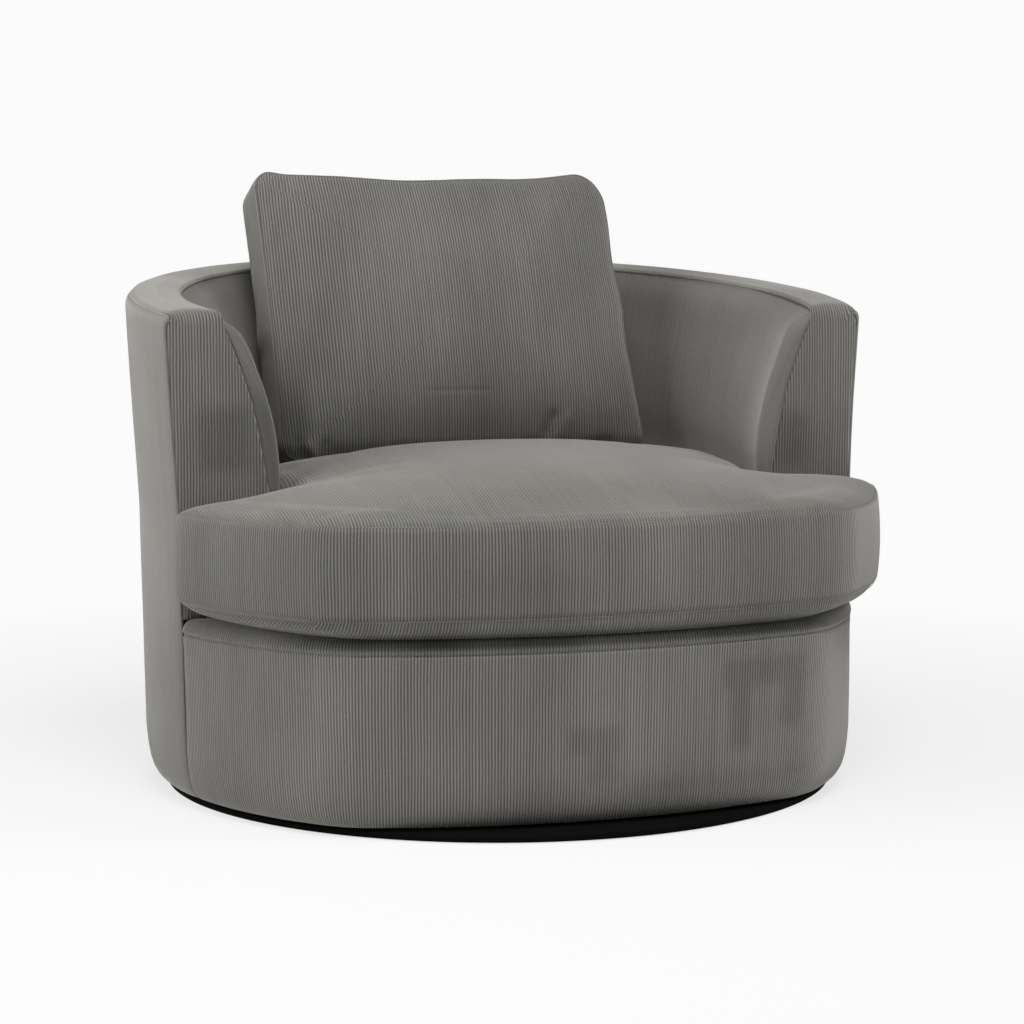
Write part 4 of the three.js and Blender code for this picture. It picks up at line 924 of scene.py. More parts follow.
            cloth[rows_at][..., 0] = blend * x + (1 - blend) * lane
        cloth[..., 1] = run_lengths(points, 0)
        calm = points + grid_normals(points) * waviness(points, 0.8, 120, 5)[..., None]
        points = self.in_seams(calm, (False, False, True, True))
        self.threads.append(((points + grid_normals(calm) * self.thread_proud)[:, -1], False))
        skin = Skin()
        skin.add_padded(points, cloth, np.full(points.shape[:2], self.strip_depth), calm)
        return skin.build("arm_and_rim_strip")

    def inner_rows(self) -> np.ndarray:
        """Shares of the way down the inner face, from the rim's inner seam to the deck."""
        return graded(0, self.panel_run, self.row_step, True, False) / self.panel_run

    def inner_front_line(self) -> tuple[np.ndarray, np.ndarray, np.ndarray]:
        """The inner face where it meets the plane of the arm fronts.

        Returns:
            Radius and height of each row from the rim's seam down, and the line's points.
        """
        b = BARREL
        z = b.arm_top - b.inner_drop + (b.deck - b.arm_top + b.inner_drop) * self.inner_rows()
        radius = b.inner_face(z, np.full_like(z, b.arm_top)) - b.roll(b.arm_top - z, np.zeros_like(z))
        return radius, z, self.section_at_front(radius, z)

    def arm_seam(self, share: np.ndarray) -> np.ndarray:
        """Places on the seam between an arm front and the inner padding.

        Args:
            share: Shares of the way down the seam, from the rim to the deck.

        Returns:
            One place on the right arm for each share.
        """
        line = np.array([(423, 646), (420.5, 640), (414, 625), (400.6, 590), (386.5, 547), (377, 500), (365, 428),
                         (357, 340), (351, BARREL.deck)])
        length = np.concatenate([[0], np.cumsum(np.linalg.norm(np.diff(line, axis=0), axis=1))])
        x, z = (np.interp(share * length[-1], length, line[:, i]) for i in range(2))
        return np.stack([x, np.full_like(x, BARREL.arm_front), z], axis=-1)

    def inner_back(self) -> bpy.types.Object:
        """The padded inside of the barrel, rolled over the inner edges of the arm fronts."""
        b = BARREL
        share = self.inner_rows()
        radius_front, z_front, corner = self.inner_front_line()
        setback = 18 + 4 * ease(0, 45, z_front[0] - z_front)
        turn = b.turns(radius_front, setback, self.stations)
        y = b.axis_y + b.rim_radius * np.sin(turn)
        top = b.rim(y)
        z = top - b.inner_drop + (b.deck - top + b.inner_drop) * share
        radius = b.inner_face(z, top) - b.roll(top - z, turn)
        wall = b.along(radius, turn, z)
        length = run_lengths(corner[:, None], 0)[:, 0]
        end = self.arm_seam(length / length[-1])
        edge = self.turned_edge(wall[0], corner, end)
        points = self.both_ends(wall, edge)
        flat = np.zeros((len(edge), z.shape[1]))
        turned = np.concatenate([flat + turn[0], turn, flat + turn[-1]])
        past = run_lengths(edge, 0) + 3
        beyond = np.concatenate([-past[::-1], np.zeros_like(turn), past])
        cloth = np.stack([turned * 412 + beyond, run_lengths(points, 1)], axis=-1)
        calm = points + grid_normals(points) * waviness(points, 1.3, 150, 8)[..., None]
        points = self.in_seams(calm, (True, True, True, False))
        ends = np.concatenate([np.linspace(10, 16, len(edge)), np.linspace(16, self.pad_depth, 12)])
        depth = np.full(len(points), self.pad_depth)
        depth[:len(ends)] = ends
        depth[-len(ends):] = ends[::-1]
        skin = Skin()
        skin.add_padded(points, cloth, np.broadcast_to(depth[:, None], points.shape[:2]), calm)
        return skin.build("inner_back_padding")

    def build(self) -> None:
        """Builds and dresses the covers of the barrel."""
        outer = self.outer_cover()
        # Painted highlight: the outer cover is painted lighter towards its top, where the light falls from above.
        paint_pile(outer, 0.29 * ease(170, 340, coordinates(outer)[:, 2]) - 0.03, np.array(0.8))
        dress(outer, CORD, "chair", "outer_cover")
        strip = self.strip()
        points = coordinates(strip)
        paint_pile(strip, PILE_AND_LIGHT.arms(points), 0.85 * ease(-158, -135, points[:, 1]))
        dress(strip, CORD, "chair", "rim_cap", "arm_front_left", "arm_front_right")
        inner = self.inner_back()
        points = coordinates(inner)
        paint_pile(inner, PILE_AND_LIGHT.inner(points), 0.6 + 0.15 * ease(-60, -150, points[:, 1]))
        dress(inner, CORD, "chair", "inner_back")
        ThreadRow("barrel_stitches", *STITCH, 21).build(self.threads, THREAD, "chair")


class NapMap:
    """Where the pile of the cord is stroked lighter or darker, and where light and shade are painted onto it."""

    @staticmethod
    def patch(u: np.ndarray, v: np.ndarray, box: tuple[float, float, float, float], soft: float) -> np.ndarray:
        """A patch with soft sides: 1 inside a box of u and v, 0 outside it."""
        left, right, low, high = box
        across = ease(left - soft, left + soft, u) * (1 - ease(right - soft, right + soft, u))
        return across * ease(low - soft, low + soft, v) * (1 - ease(high - soft, high + soft, v))

    def arms(self, points: np.ndarray) -> np.ndarray:
        """Tone of the strip: a painted sheen over the rim and arm tops, painted lighter on the left and darker on
        the right where the light falls, and darker patches on the arm fronts.
        """
        x, y, z = points.T
        front = ease(-140, -165, y)
        low = self.patch(x, z, (-460, -390, 455, 540), 14) + self.patch(x, z, (370, 420, 440, 520), 18)
        # Painted light and shade: the 0.3 is a painted sheen over the rim, the right side is painted darker and
        # the left side lighter.
        right = ease(200, 330, x) * (1 - ease(-60, 60, y))
        left = ease(-280, -400, x)
        return (0.3 - 0.32 * right + 0.14 * left) * (1 - front) - 0.24 * front * low

    def inner(self, points: np.ndarray) -> np.ndarray:
        """Tone of the inner padding: lighter and darker patches of pile, and painted shade low on the left wall
        beside the back cushion.
        """
        x, _, z = points.T
        bright = self.patch(x, z, (300, 380, 480, 640), 45) * 0.1
        dark = self.patch(x, z, (120, 300, 590, 700), 40) * 0.08
        # Painted shade low on the left inner wall, beside the back cushion.
        behind = self.patch(x, z, (-420, -285, 360, 560), 30) * 0.25
        return bright - dark - behind

    def apron(self, points: np.ndarray) -> np.ndarray:
        """Tone of the front apron: stroked patches of pile, and painted shade on its roll under the seat cushion.
        """
        x, _, z = points.T
        bar = self.patch(x, z, (170, 300, 178, 215), 9)
        legs = self.patch(x, z, (185, 215, 95, 190), 9) + self.patch(x, z, (262, 300, 120, 190), 12)
        smudge = self.patch(x, z, (-45, 25, 105, 140), 10) + self.patch(x, z, (-20, 20, 60, 105), 14)
        low = self.patch(x, z, (40, 330, 44, 66), 12)
        # Painted shade on the apron's roll under the overhang of the seat cushion, weaker towards the ends.
        under = ease(241, 249, z) * (1 - 0.75 * ease(300, 430, np.abs(x)))
        pale = 0.1 * ease(-330, -180, x)
        marks = 0.25 * np.clip(bar + legs, 0, 1) + 0.24 * np.clip(smudge, 0, 1) + 0.14 * low
        return (pale - marks) * (1 - under) - 0.78 * under

    def seat(self, points: np.ndarray) -> np.ndarray:
        """Tone of the seat cushion: patches of pile on its band, and painted shade on its underside."""
        x, _, z = points.T
        side = 1 - ease(396, 412, z)
        pale = self.patch(x, z, (60, 95, 320, 390), 16)
        dark = self.patch(x, z, (-180, -20, 310, 350), 26)
        left = ease(-260, -330, x)
        # Painted shade over the cushion's underside.
        under = 1 - ease(259, 270, z)
        return side * (0.09 * pale - 0.08 * dark - 0.19 * left) - 0.8 * under

    def back(self, points: np.ndarray) -> np.ndarray:
        """Tone of the back cushion: painted shade at its foot, along its contact with the seat and in its lower
        left corner, and a lighter band and patch higher up.
        """
        x, _, z = points.T
        # Painted shade: darker at the foot, along the contact with the seat and in the lower left corner.
        foot = 1 - ease(470, 560, z)
        contact = 1 - ease(420, 446, z)
        corner = (1 - ease(-262, -240, x)) * (1 - ease(500, 600, z))
        edge = self.patch(x, z, (200, 240, 600, 800), 25)
        middle = ease(560, 640, z) * (1 - ease(760, 840, z))
        return 0.06 * middle - 0.17 * foot + 0.05 * edge - 0.4 * contact - 0.3 * corner


PILE_AND_LIGHT = NapMap()


@dataclass(frozen=True)
class FrontCurve:
    """A body in plan: barrel sides, round corners and a shallow front."""

    side_radius: float
    corner_radius: float
    front: float
    corner_turn: float = 44.9

    def right_half(self, end_turn: float, step: float) -> tuple[np.ndarray, np.ndarray]:
        """Points of the right half, from the middle of the front to a turn on the barrel.

        Args:
            end_turn: Turn on the barrel where the half ends, in radians.
            step: Distance between points.

        Returns:
            The points and their outward directions in plan.
        """
        turn = math.radians(self.corner_turn)
        reach = self.side_radius - self.corner_radius
        cx, cy = reach * math.cos(turn), BARREL.axis_y - reach * math.sin(turn)
        k = self.front + self.corner_radius
        centre = (cx**2 + cy**2 - k**2) / (2 * (cy - k))
        front_turn = math.atan2(cy - centre, cx)
        arcs = [
            (0.0, centre, centre - self.front, -math.pi / 2, front_turn),
            (cx, cy, self.corner_radius, front_turn, -turn),
            (0.0, BARREL.axis_y, self.side_radius, -turn, end_turn),
        ]
        points, normals = [], []
        for i, (x, y, radius, start, end) in enumerate(arcs):
            count = max(3, round(abs(end - start) * radius / step) + 1)
            turns = np.linspace(start, end, count)[1 if i else 0:]
            normal = np.stack([np.cos(turns), np.sin(turns)], axis=1)
            points.append(np.array([x, y]) + radius * normal)
            normals.append(normal)
        return np.concatenate(points), np.concatenate(normals)


@dataclass(frozen=True)
class Apron:
    """The padded front of the body under the seat cushion, with one seam below its rolled top."""

    curve: FrontCurve = FrontCurve(499.0, 158.0, -468.9)
    seam: float = 239.0
    depth: float = 13.0
    step: float = 8.0
    row_step: float = 8.5
    roll: float = 16.0
    roll_height: float = 17.5
    thread_proud: float = 0.5

    def section(self) -> np.ndarray:
        """Lines of the apron as distance inside its face and height, from the hem to the deck."""
        hem = [tuple(row) for row in HEM]
        face = [(0, z) for z in np.arange(HEM_TOP + 8, self.seam - 12, self.row_step)]
        seam = [(-0.2, self.seam - d) for d in (9, 5, 2.4)] + [(2.6, self.seam)]
        roll = [(-0.6, self.seam + 2.6), (-1.2, self.seam + 6)]
        bend = [(self.roll * (1 - math.cos(a)) - 0.6, self.seam + 3.5 + self.roll_height * math.sin(a))
                for a in np.radians([12, 26, 40, 54, 68, 80, 90])]
        lip = [(24, 260), (32, 259.8), (40, 259.2), (47, 257.5)]
        return np.array(hem + face + seam + roll + bend + lip)

    def build(self) -> None:
        """Builds and dresses the apron."""
        b = BARREL
        end_turn = math.asin((b.arm_front - b.axis_y) / b.foot_radius)
        half, normal = self.curve.right_half(end_turn, self.step)
        half = np.concatenate([half[:0:-1] * [-1, 1], half])
        normal = np.concatenate([normal[:0:-1] * [-1, 1], normal])
        inward, z = self.section().T
        out = b.face(z) - b.foot_radius - inward
        out_front = b.flare * (z - b.foot) - inward
        points = np.empty((len(half), len(z), 3))
        side = ease(0.5, 0.9, np.abs(normal[:, :1]))
        points[..., :2] = half[:, None] + normal[:, None] * (side * out + (1 - side) * out_front)[..., None]
        points[..., 2] = z
        on_plane = ease(-200, b.arm_front, half[:, 1])[:, None]
        points[..., 1] = np.where(on_plane > 0.999, b.arm_front - 0.3, points[..., 1])
        points = b.drawn_in(points)
        cloth = np.stack(np.broadcast_arrays(
            run_lengths(points, 0)[:, 20:21], run_lengths(points, 1)[len(half) // 2][None]), axis=-1)
        seam_near = np.exp(-(((z - self.seam) / 14) ** 2))
        pucker = np.sin(cloth[..., 0] / 9.0) * np.sin(cloth[..., 0] / 23.0) * 0.35 * seam_near
        wave = waviness(points, 1.5, 170, 11) * ease(0, 60, z - 30) + pucker
        calm = points + grid_normals(points) * wave[..., None]
        points = BarrelCovers().in_seams(calm, (True, True, False, False))
        seam_row = int(np.flatnonzero(z == self.seam)[0])
        seam_line = (points + grid_normals(calm) * self.thread_proud)[:, seam_row]
        skin = Skin()
        skin.add_padded(points, cloth, np.full(points.shape[:2], self.depth), calm)
        piece = skin.build("front_apron_cloth")
        paint_pile(piece, PILE_AND_LIGHT.apron(coordinates(piece)), np.array(0.0))
        dress(piece, CORD, "chair", "front_apron")
        ThreadRow("apron_stitches", *STITCH, 22).build([(seam_line, False)], THREAD, "chair")


def panel_places(rings: int) -> tuple[np.ndarray, np.ndarray]:
    """A square grid as rings about its middle.

    Args:
        rings: Number of rings.

    Returns:
        Share of the way out, and share of the way round, for each place of the grid.
    """
    a, b = np.meshgrid(np.arange(-rings, rings + 1), np.arange(-rings, rings + 1), indexing="ij")
    m = np.maximum(np.abs(a), np.abs(b))
    s = np.select(
        [(b == -m) & (a >= 0), a == m, b == m, a == -m],
        [a, 2 * m + b, 4 * m - a, 6 * m - b], 8 * m + a,
    )
    return m / rings, np.where(m > 0, s / np.maximum(8 * m, 1), 0.0)


def around_at(values: np.ndarray, share: np.ndarray) -> np.ndarray:
    """Values of a closed row at shares of the way round, also between its entries."""
    place = np.round(share * len(values), 6)
    low = np.floor(place).astype(int)
    part = (place - low)[..., None]
    return values[low % len(values)] * (1 - part) + values[(low + 1) % len(values)] * part


def outward(outline: np.ndarray) -> np.ndarray:
    """Unit directions in plan out of a closed outline, one for each point."""
    step = np.roll(outline, -1, 0) - np.roll(outline, 1, 0)
    normal = np.stack([step[:, 1], -step[:, 0]], axis=1)
    return normal / np.linalg.norm(normal, axis=1, keepdims=True)


def around_length(outline: np.ndarray) -> np.ndarray:
    """Distance round a closed outline, from its first point back to it."""
    closed = np.concatenate([outline, outline[:1]])
    return np.concatenate([[0], np.cumsum(np.linalg.norm(np.diff(closed, axis=0), axis=1))])


def from_line(x: np.ndarray, z: np.ndarray, start: tuple[float, float], end: tuple[float, float]) -> np.ndarray:
    """Distance in a plane from each point to a short line."""
    run = np.subtract(end, start)
    t = np.clip(((x - start[0]) * run[0] + (z - start[1]) * run[1]) / (run @ run), 0, 1)
    return np.hypot(x - start[0] - t * run[0], z - start[1] - t * run[1])


def resampled(outline: np.ndarray, count: int, marks: dict[float, int] | None = None) -> np.ndarray:
    """Even points round a closed outline.

    Args:
        outline: Its points in order.
        count: How many even points are wanted.
        marks: Point numbers of the outline that must fall on a share of the way round.

    Returns:
        The even points.
    """
    closed = np.concatenate([outline, outline[:1]])
    length = around_length(outline)
    wanted = np.arange(count) / count
    if marks:
        shares = sorted(marks)
        wanted = np.interp(wanted, [0, *shares, 1], [0, *(length[marks[s]] for s in shares), length[-1]])
    else:
        wanted = wanted * length[-1]
    return np.stack([np.interp(wanted, length, closed[:, i]) for i in range(outline.shape[1])], axis=1)


@dataclass(frozen=True)
class SeatCushion:
    """Loose seat cushion: wide in front of the arms, round at its back, with a seam above and below."""

    curve: FrontCurve = FrontCurve(542.0, 126.0, -494.9)
    ear_corner: float = 50.0
    rear_radius: float = 369.6
    notch: float = -170.7
    fold: float = -229.9
    hub: float = -330.0
    rings: int = 50
    underside: float = 258.9
    low_seam: float = 286.0
    top_seam: float = 404.0
    crown: float = 66.0
    zip_height: float = 345.0
    zip_turn: float = 38.0
    zip_radius: float = 366.9
    zip_recess: float = 5.6
    ear_out: float = -13.0
    ear_lift: float = 9.0
    seam_inset: float = 4.0
    seam_draw: float = 3.4
    band_bulge: float = 4.0
    thread_proud: float = 1.3
    puff: Puff = Puff(pressure=3.0, reach=9.0, slack=0.004)

    def outline(self) -> np.ndarray:
        """The cushion in plan, from the middle of its front round by the right."""
        half, _ = self.curve.right_half(-0.21, 4.0)
        side = math.sqrt(self.curve.side_radius**2 - (self.notch - BARREL.axis_y) ** 2)
        half = half[half[:, 1] < self.notch - self.ear_corner]
        start, corner, end = half[-1], np.array([side, self.notch]), np.array([side - self.ear_corner, self.notch])
        t = np.linspace(0, 1, 14)[1:, None]
        ear = (1 - t) ** 2 * start + 2 * t * (1 - t) * corner + t**2 * end
        turn = math.asin((self.notch - BARREL.axis_y) / self.rear_radius)
        inner = np.array([self.rear_radius * math.cos(turn), self.notch])
        run = end + (inner - end) * np.linspace(0, 1, 26)[1:, None]
        turns = np.linspace(turn, math.pi / 2, 150)[1:]
        rear = self.rear_radius * np.stack([np.cos(turns), np.sin(turns)], axis=1) + [0, BARREL.axis_y]
        right = np.concatenate([half, ear, run, rear])
        return np.concatenate([right, right[-2:0:-1] * [-1, 1]])

    def surface(self, x: np.ndarray, y: np.ndarray, edge_share: np.ndarray) -> np.ndarray:
        """Height of the crowned top, as the CAD model has it."""
        side = 12 + (30 - 12) * ease(-170, 20, y)
        edge = side + (2 - side) * ease(20, 190, y)
        centre = BARREL.axis_y - 28
        reach = np.where(y < centre, centre - self.curve.front - 5, 190)
        spread = (x / 470) ** 2 + ((y - centre) / reach) ** 2
        crown = np.maximum(0, 1 - spread) ** 1.1
        return self.top_seam + (edge + (self.crown - edge) * crown) * edge_share

    def build(self) -> None:
        """Builds, fills and dresses the seat cushion."""
        count = 8 * self.rings
        outline = resampled(self.outline(), count)
        share, around = panel_places(self.rings)
        normal = outward(outline)
        seam = outline - normal * self.seam_inset
        angle = 2 * math.pi * np.arange(count) / count - math.pi / 2
        oval = np.stack([330 * np.cos(angle), self.fold + 230 * np.sin(angle)], axis=1)
        middle = np.array([0, self.hub])
        even = share[..., None]
        pulled = around_at(seam, around) * even**1.5 + around_at(oval, around) * (1 - even**1.5)
        plan = middle + (pulled - middle) * even
        edge_share = np.minimum(1, np.sqrt((1 - share) / 0.07))
        top = np.concatenate([plan, self.surface(plan[..., 0], plan[..., 1], edge_share)[..., None]], axis=-1)
        sag = self.low_seam - (self.low_seam - self.underside) * np.clip((1 - share) / 0.10, 0, 1) ** 0.55
        bottom = np.concatenate([plan, sag[..., None]], axis=-1)
        flat = plan * [1, -1]
        skin = Skin()
        skin.add(top, plan)
        skin.add(bottom, flat)
        heights = np.concatenate([
            [self.low_seam, 289, 294], np.linspace(302, 336, 4), [341.5, 348.5], np.linspace(354, 388, 4),
            [396, 401, self.top_seam],
        ])
        rise = (heights - self.low_seam) / (self.top_seam - self.low_seam)
        bulge = self.band_bulge * np.sin(np.pi * rise) ** 0.6
        closed = np.concatenate([seam, seam[:1]])
        directions = np.concatenate([normal, normal[:1]])
        band = np.empty((count + 1, len(heights), 3))
        band[..., :2] = closed[:, None] + directions[:, None] * bulge[:, None]
        band[..., 2] = heights
        skin.add(band, np.stack(np.broadcast_arrays(around_length(seam)[:, None], heights[None]), axis=-1))
        piece = skin.build("seat_cushion_cloth")
        start = coordinates(piece)
        x, y, z = start.T
        seam_gap = np.minimum(np.abs(z - self.low_seam), np.abs(z - self.top_seam))
        on_band = self.distance_inside(start, outline) < 9
        sewn = on_band & (seam_gap < 0.6)
        free = 1 - ease(-240, -185, y)
        rest = np.where((z < 300) & ~on_band, 1.0, 0.0)
        held = np.clip(np.maximum(sewn * 1.0, rest * 0.8), 0, 1)
        moved = self.puff.fill(piece, held)
        room = np.where(z > 400, 1.0, free)[:, None]
        moved[:, 2] = np.where(z < 280, np.maximum(moved[:, 2], -0.2), moved[:, 2])
        moved[:, :2] *= np.where(on_band, 0.35, 1.0)[:, None]
        place(piece, start + moved * room)
        points = coordinates(piece)
        outwards = np.zeros_like(start)
        outwards[:, :2] = normal[self.nearest(start, outline)]
        rear_turn = np.abs(np.arctan2(x, y - BARREL.axis_y))
        zipped = on_band & (np.abs(z - self.zip_height) < 4) & (rear_turn < math.radians(self.zip_turn + 0.6))
        points -= (sewn * self.seam_draw + zipped * self.zip_recess)[:, None] * outwards
        points[:, 0] -= self.ear_out * ease(-330, -500, points[:, 0])
        rear = ease(330, 440, points[:, 0]) * ease(-330, -215, points[:, 1]) * ease(380, 404, points[:, 2])
        points[:, 2] += self.ear_lift * rear
        place(piece, points)
        subdivide(piece)
        points = coordinates(piece)
        threads = []
        for seam_z in (self.low_seam, self.top_seam):
            row = np.flatnonzero(sewn & (np.abs(z - seam_z) < 0.6))
            row = row[np.argsort(self.nearest(start[row], outline), kind="stable")]
            threads.append((points[row] + self.thread_proud * outwards[row], True))
        ThreadRow("seat_stitches", *STITCH, 23).build(threads, THREAD, "seat_cushion")
        turns = np.radians(np.linspace(90 - self.zip_turn, 90 + self.zip_turn, 120))
        coil = BARREL.along(np.full(120, self.zip_radius), turns, np.full(120, self.zip_height))
        ThreadRow("seat_zip_teeth", *TEETH, 24).build([(coil, False)], NYLON, "seat_cushion")
        paint_pile(piece, PILE_AND_LIGHT.seat(points), 0.25 * ease(396, 410, points[:, 2]))
        dress(piece, CORD, "seat_cushion", "seat_cushion_cover", "seat_cushion_foam")

    def nearest(self, points: np.ndarray, outline: np.ndarray) -> np.ndarray:
        """Number of the nearest outline point in plan for each point."""
        found = np.empty(len(points), int)
        for start in range(0, len(points), 4000):
            part = points[start:start + 4000, None, :2] - outline[None]
            found[start:start + 4000] = np.argmin((part**2).sum(-1), axis=1)
        return found

    def distance_inside(self, points: np.ndarray, outline: np.ndarray) -> np.ndarray:
        """Distance in plan from each point to the outline."""
        return np.linalg.norm(points[:, :2] - outline[self.nearest(points, outline)], axis=1)


@dataclass(frozen=True)
class BackCushion:
    """Loose back cushion: a boxed cushion that leans on the barrel and stands on the seat."""

    width: float = 545.0
    height: float = 428.0
    gusset: float = 124.0
    front_crown: float = 40.0
    rear_crown: float = 26.0
    corners: tuple[float, ...] = (26.0, 42.0, 22.0, 26.0)
    draw_in: tuple[float, ...] = (0.0, 5.0, 9.0, 3.0)
    zip_half: float = 215.0
    zip_spot: tuple[float, float] = (141.6, 429.6)
    zip_recess: float = 6.0
    seam_draw: float = 1.8
    band_bulge: float = 3.0
    thread_proud: float = 1.1
    folds: tuple[tuple[float, ...], ...] = (
        (-65, -121, 34, -121, 1.3, 2.2), (103, -208, 128, -160, 5.0, 7.0), (125, -205, 151, -165, -3.0, 9.0),
        (176, -206, 218, -197, 3.5, 7.0), (-236, -196, -228, -206, -4.5, 6.0), (-214, -190, -222, -208, 3.5, 6.0),
        (-252, -186, -247, -204, 3.0, 6.0), (60, -206, 92, -196, 2.0, 7.0), (-120, -206, -86, -199, 2.0, 7.0),
    )
    lean: float = 13.5
    offset: float = -15.0
    skew: float = 0.045
    rings: int = 36
    puff: Puff = Puff(pressure=3.6, reach=22.0, slack=0.006)

    def outline(self) -> tuple[np.ndarray, dict[float, int]]:
        """The front panel's outline, from the middle of its foot round by the right, and its corners.

        Returns:
            Its points as [across, up] and the point numbers of its corners by their share of the way.
        """
        w, h = self.width / 2, self.height / 2
        points: list[list[float]] = []
        marks: dict[float, int] = {}
        sides = [(0, -1), (1, 0), (0, 1), (-1, 0)]
        for i in range(5):
            ox, oz = sides[i % 4]
            along, out = (w, h) if oz else (h, w)
            before, after = self.corners[(i - 1) % 4], self.corners[i % 4]
            low, high = (0.0 if i == 0 else -1.0), (0.0 if i == 4 else 1.0)
            for t in np.linspace(low, high, 24 if i in (0, 4) else 46):
                depth = out - self.draw_in[i % 4] * (1 - t * t)
                spot = t * (along - (before if t < 0 else after))
                points.append([ox * depth - oz * spot, oz * depth + ox * spot])
            if i < 4:
                nx, nz = sides[(i + 1) % 4]
                r = after
                centre = ((w - r) * (ox + nx), (h - r) * (oz + nz))
                base = math.atan2(oz, ox)
                for j, turn in enumerate(np.linspace(0, math.pi / 2, 13)[1:-1]):
                    if j == 5:
                        marks[(2 * i + 1) / 8] = len(points)
                    points.append([centre[0] + r * math.cos(base + turn), centre[1] + r * math.sin(base + turn)])
        return np.array(points[:-1]), marks

    def used(self, points: np.ndarray) -> np.ndarray:
        """Adds what use has left: pulled corners, folds above the seat and a short crease."""
        x, y, z = points.T
        front = ease(10, -50, y)
        even = np.clip((60 - y) / 120, 0, 1)
        moved = np.zeros_like(points)
        moved[:, 0] -= 8.0 * ease(-120, -260, x) * even
        moved[:, 0] -= 15.0 * ease(90, 265, x) * np.clip(z / 200, 0, 1.05)
        moved[:, 0] -= 3.0 * ease(-250, -268, x) * (1 - front) * np.exp(-(((z + 20) / 28) ** 2))
        moved[:, 0] += 1.3 * np.sin(z / 19 + 0.6) * ease(215, 268, x) * even
        moved[:, 0] += 4.0 * ease(225, 268, x) * np.exp(-(((z + 165) / 42) ** 2)) * even
        moved[:, 1] += 8.0 * front * ease(-186, -215, z)
        moved[:, 2] += 3.0 * np.exp(-(((x + 250) / 16) ** 2)) * ease(170, 210, z) * even
        moved[:, 2] += 1.3 * np.sin(x / 33) * ease(120, 210, z)
        for x0, z0, x1, z1, depth, width in self.folds:
            moved[:, 1] += depth * front * np.exp(-((from_line(x, z, (x0, z0), (x1, z1)) / width) ** 2))
        return points + moved

    def settle(self, points: np.ndarray) -> np.ndarray:
        """Leans the cushion back."""
        turn = math.radians(-self.lean)
        x, y, z = points.T
        sin, cos = math.sin(turn), math.cos(turn)
        return np.stack([x, y * cos - z * sin, y * sin + z * cos], axis=1)

    def build(self) -> None:
        """Builds, fills, shapes and dresses the back cushion."""
        count = 8 * self.rings
        outline, marks = self.outline()
        outline = resampled(outline, count, marks)
        share, around = panel_places(self.rings)
        angle = 2 * math.pi * np.arange(count) / count - math.pi / 2
        oval = np.stack([self.width * 0.42 * np.cos(angle), self.height * 0.42 * np.sin(angle)], axis=1)
        even = share[..., None]
        plan = (around_at(outline, around) * even**0.5 + around_at(oval, around) * (1 - even**0.5)) * even
        crown = (1 - share**2) ** 0.7
        front = np.stack([plan[..., 0], -self.gusset / 2 - self.front_crown * crown, plan[..., 1]], axis=-1)
        rear = np.stack([plan[..., 0], self.gusset / 2 + self.rear_crown * crown, plan[..., 1]], axis=-1)
        skin = Skin()
        skin.add(front, plan)
        skin.add(rear, plan * [-1, 1])
        depths = np.array([-62, -59.5, -54, -44, -33, -22, -11, -4, 4, 11, 22, 33, 44, 54, 59.5, 62])
        bulge = self.band_bulge * np.sin(np.pi * (depths / self.gusset + 0.5)) ** 0.6
        normal = outward(outline)
        closed, directions = np.concatenate([outline, outline[:1]]), np.concatenate([normal, normal[:1]])
        band = np.empty((count + 1, len(depths), 3))
        around_band = closed[:, None] + directions[:, None] * bulge[:, None]
        band[..., 0], band[..., 1], band[..., 2] = around_band[..., 0], depths, around_band[..., 1]
        skin.add(band, np.stack(np.broadcast_arrays(depths[None], around_length(outline)[:, None]), axis=-1))
        piece = skin.build("back_cushion_cloth")
        start = coordinates(piece)
        x, y, z = start.T
        sewn = (np.abs(np.abs(y) - self.gusset / 2) < 0.3) & (
            (np.abs(x) > self.width / 2 - 45) | (np.abs(z) > self.height / 2 - 45))
        inside = np.minimum(self.width / 2 - np.abs(x), self.height / 2 - np.abs(z))
        sewn &= inside < 12
        moved = self.puff.fill(piece, sewn * 0.96)
        rear_room = 1 - 0.85 * ease(0, 50, y)
        foot_room = ease(-self.height / 2 + 2, -self.height / 2 + 70, z)
        moved[:, 1] *= np.where(moved[:, 1] > 0, rear_room, 1.0)
        moved[:, 2] *= np.where(moved[:, 2] < 0, foot_room, 1.0)
        place(piece, start + moved)
        points = coordinates(piece)
        points -= (sewn * self.seam_draw)[:, None] * np.sign(points) * np.array([1, 0, 1])
        zipped = (np.abs(y) < 4.5) & (z < -self.height / 2 + 4) & (np.abs(x) < self.zip_half + 2)
        points[:, 2] += zipped * self.zip_recess
        place(piece, points)
        subdivide(piece)
        points = self.used(coordinates(piece))
        points[:, 0] -= self.skew * points[:, 2]
        rest = self.settle(start)
        low, high = (np.array(c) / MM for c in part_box("back_cushion_cover"))
        shift = np.array([self.offset, high[1] - rest[:, 1].max(), low[2] - rest[:, 2].min()])
        points = self.settle(points) + shift
        place(piece, points)
        threads = []
        for side in (-1, 1):
            row = np.flatnonzero(sewn & (y * side > 0))
            row = row[np.argsort(np.arctan2(z[row], x[row]))]
            away = points[row] - points.mean(axis=0)
            away *= self.thread_proud / np.linalg.norm(away, axis=1, keepdims=True)
            threads.append((points[row] + away, True))
        ThreadRow("back_stitches", *STITCH, 25).build(threads, THREAD, "back_cushion")
        coil = np.array([(self.offset + side * self.zip_half, *self.zip_spot) for side in (-1, 1)])
        ThreadRow("back_zip_teeth", *TEETH, 26).build([(coil, False)], NYLON, "back_cushion")
        paint_pile(piece, PILE_AND_LIGHT.back(points), np.array(0.0))
        dress(piece, CORD, "back_cushion", "back_cushion_cover", "back_cushion_filling")


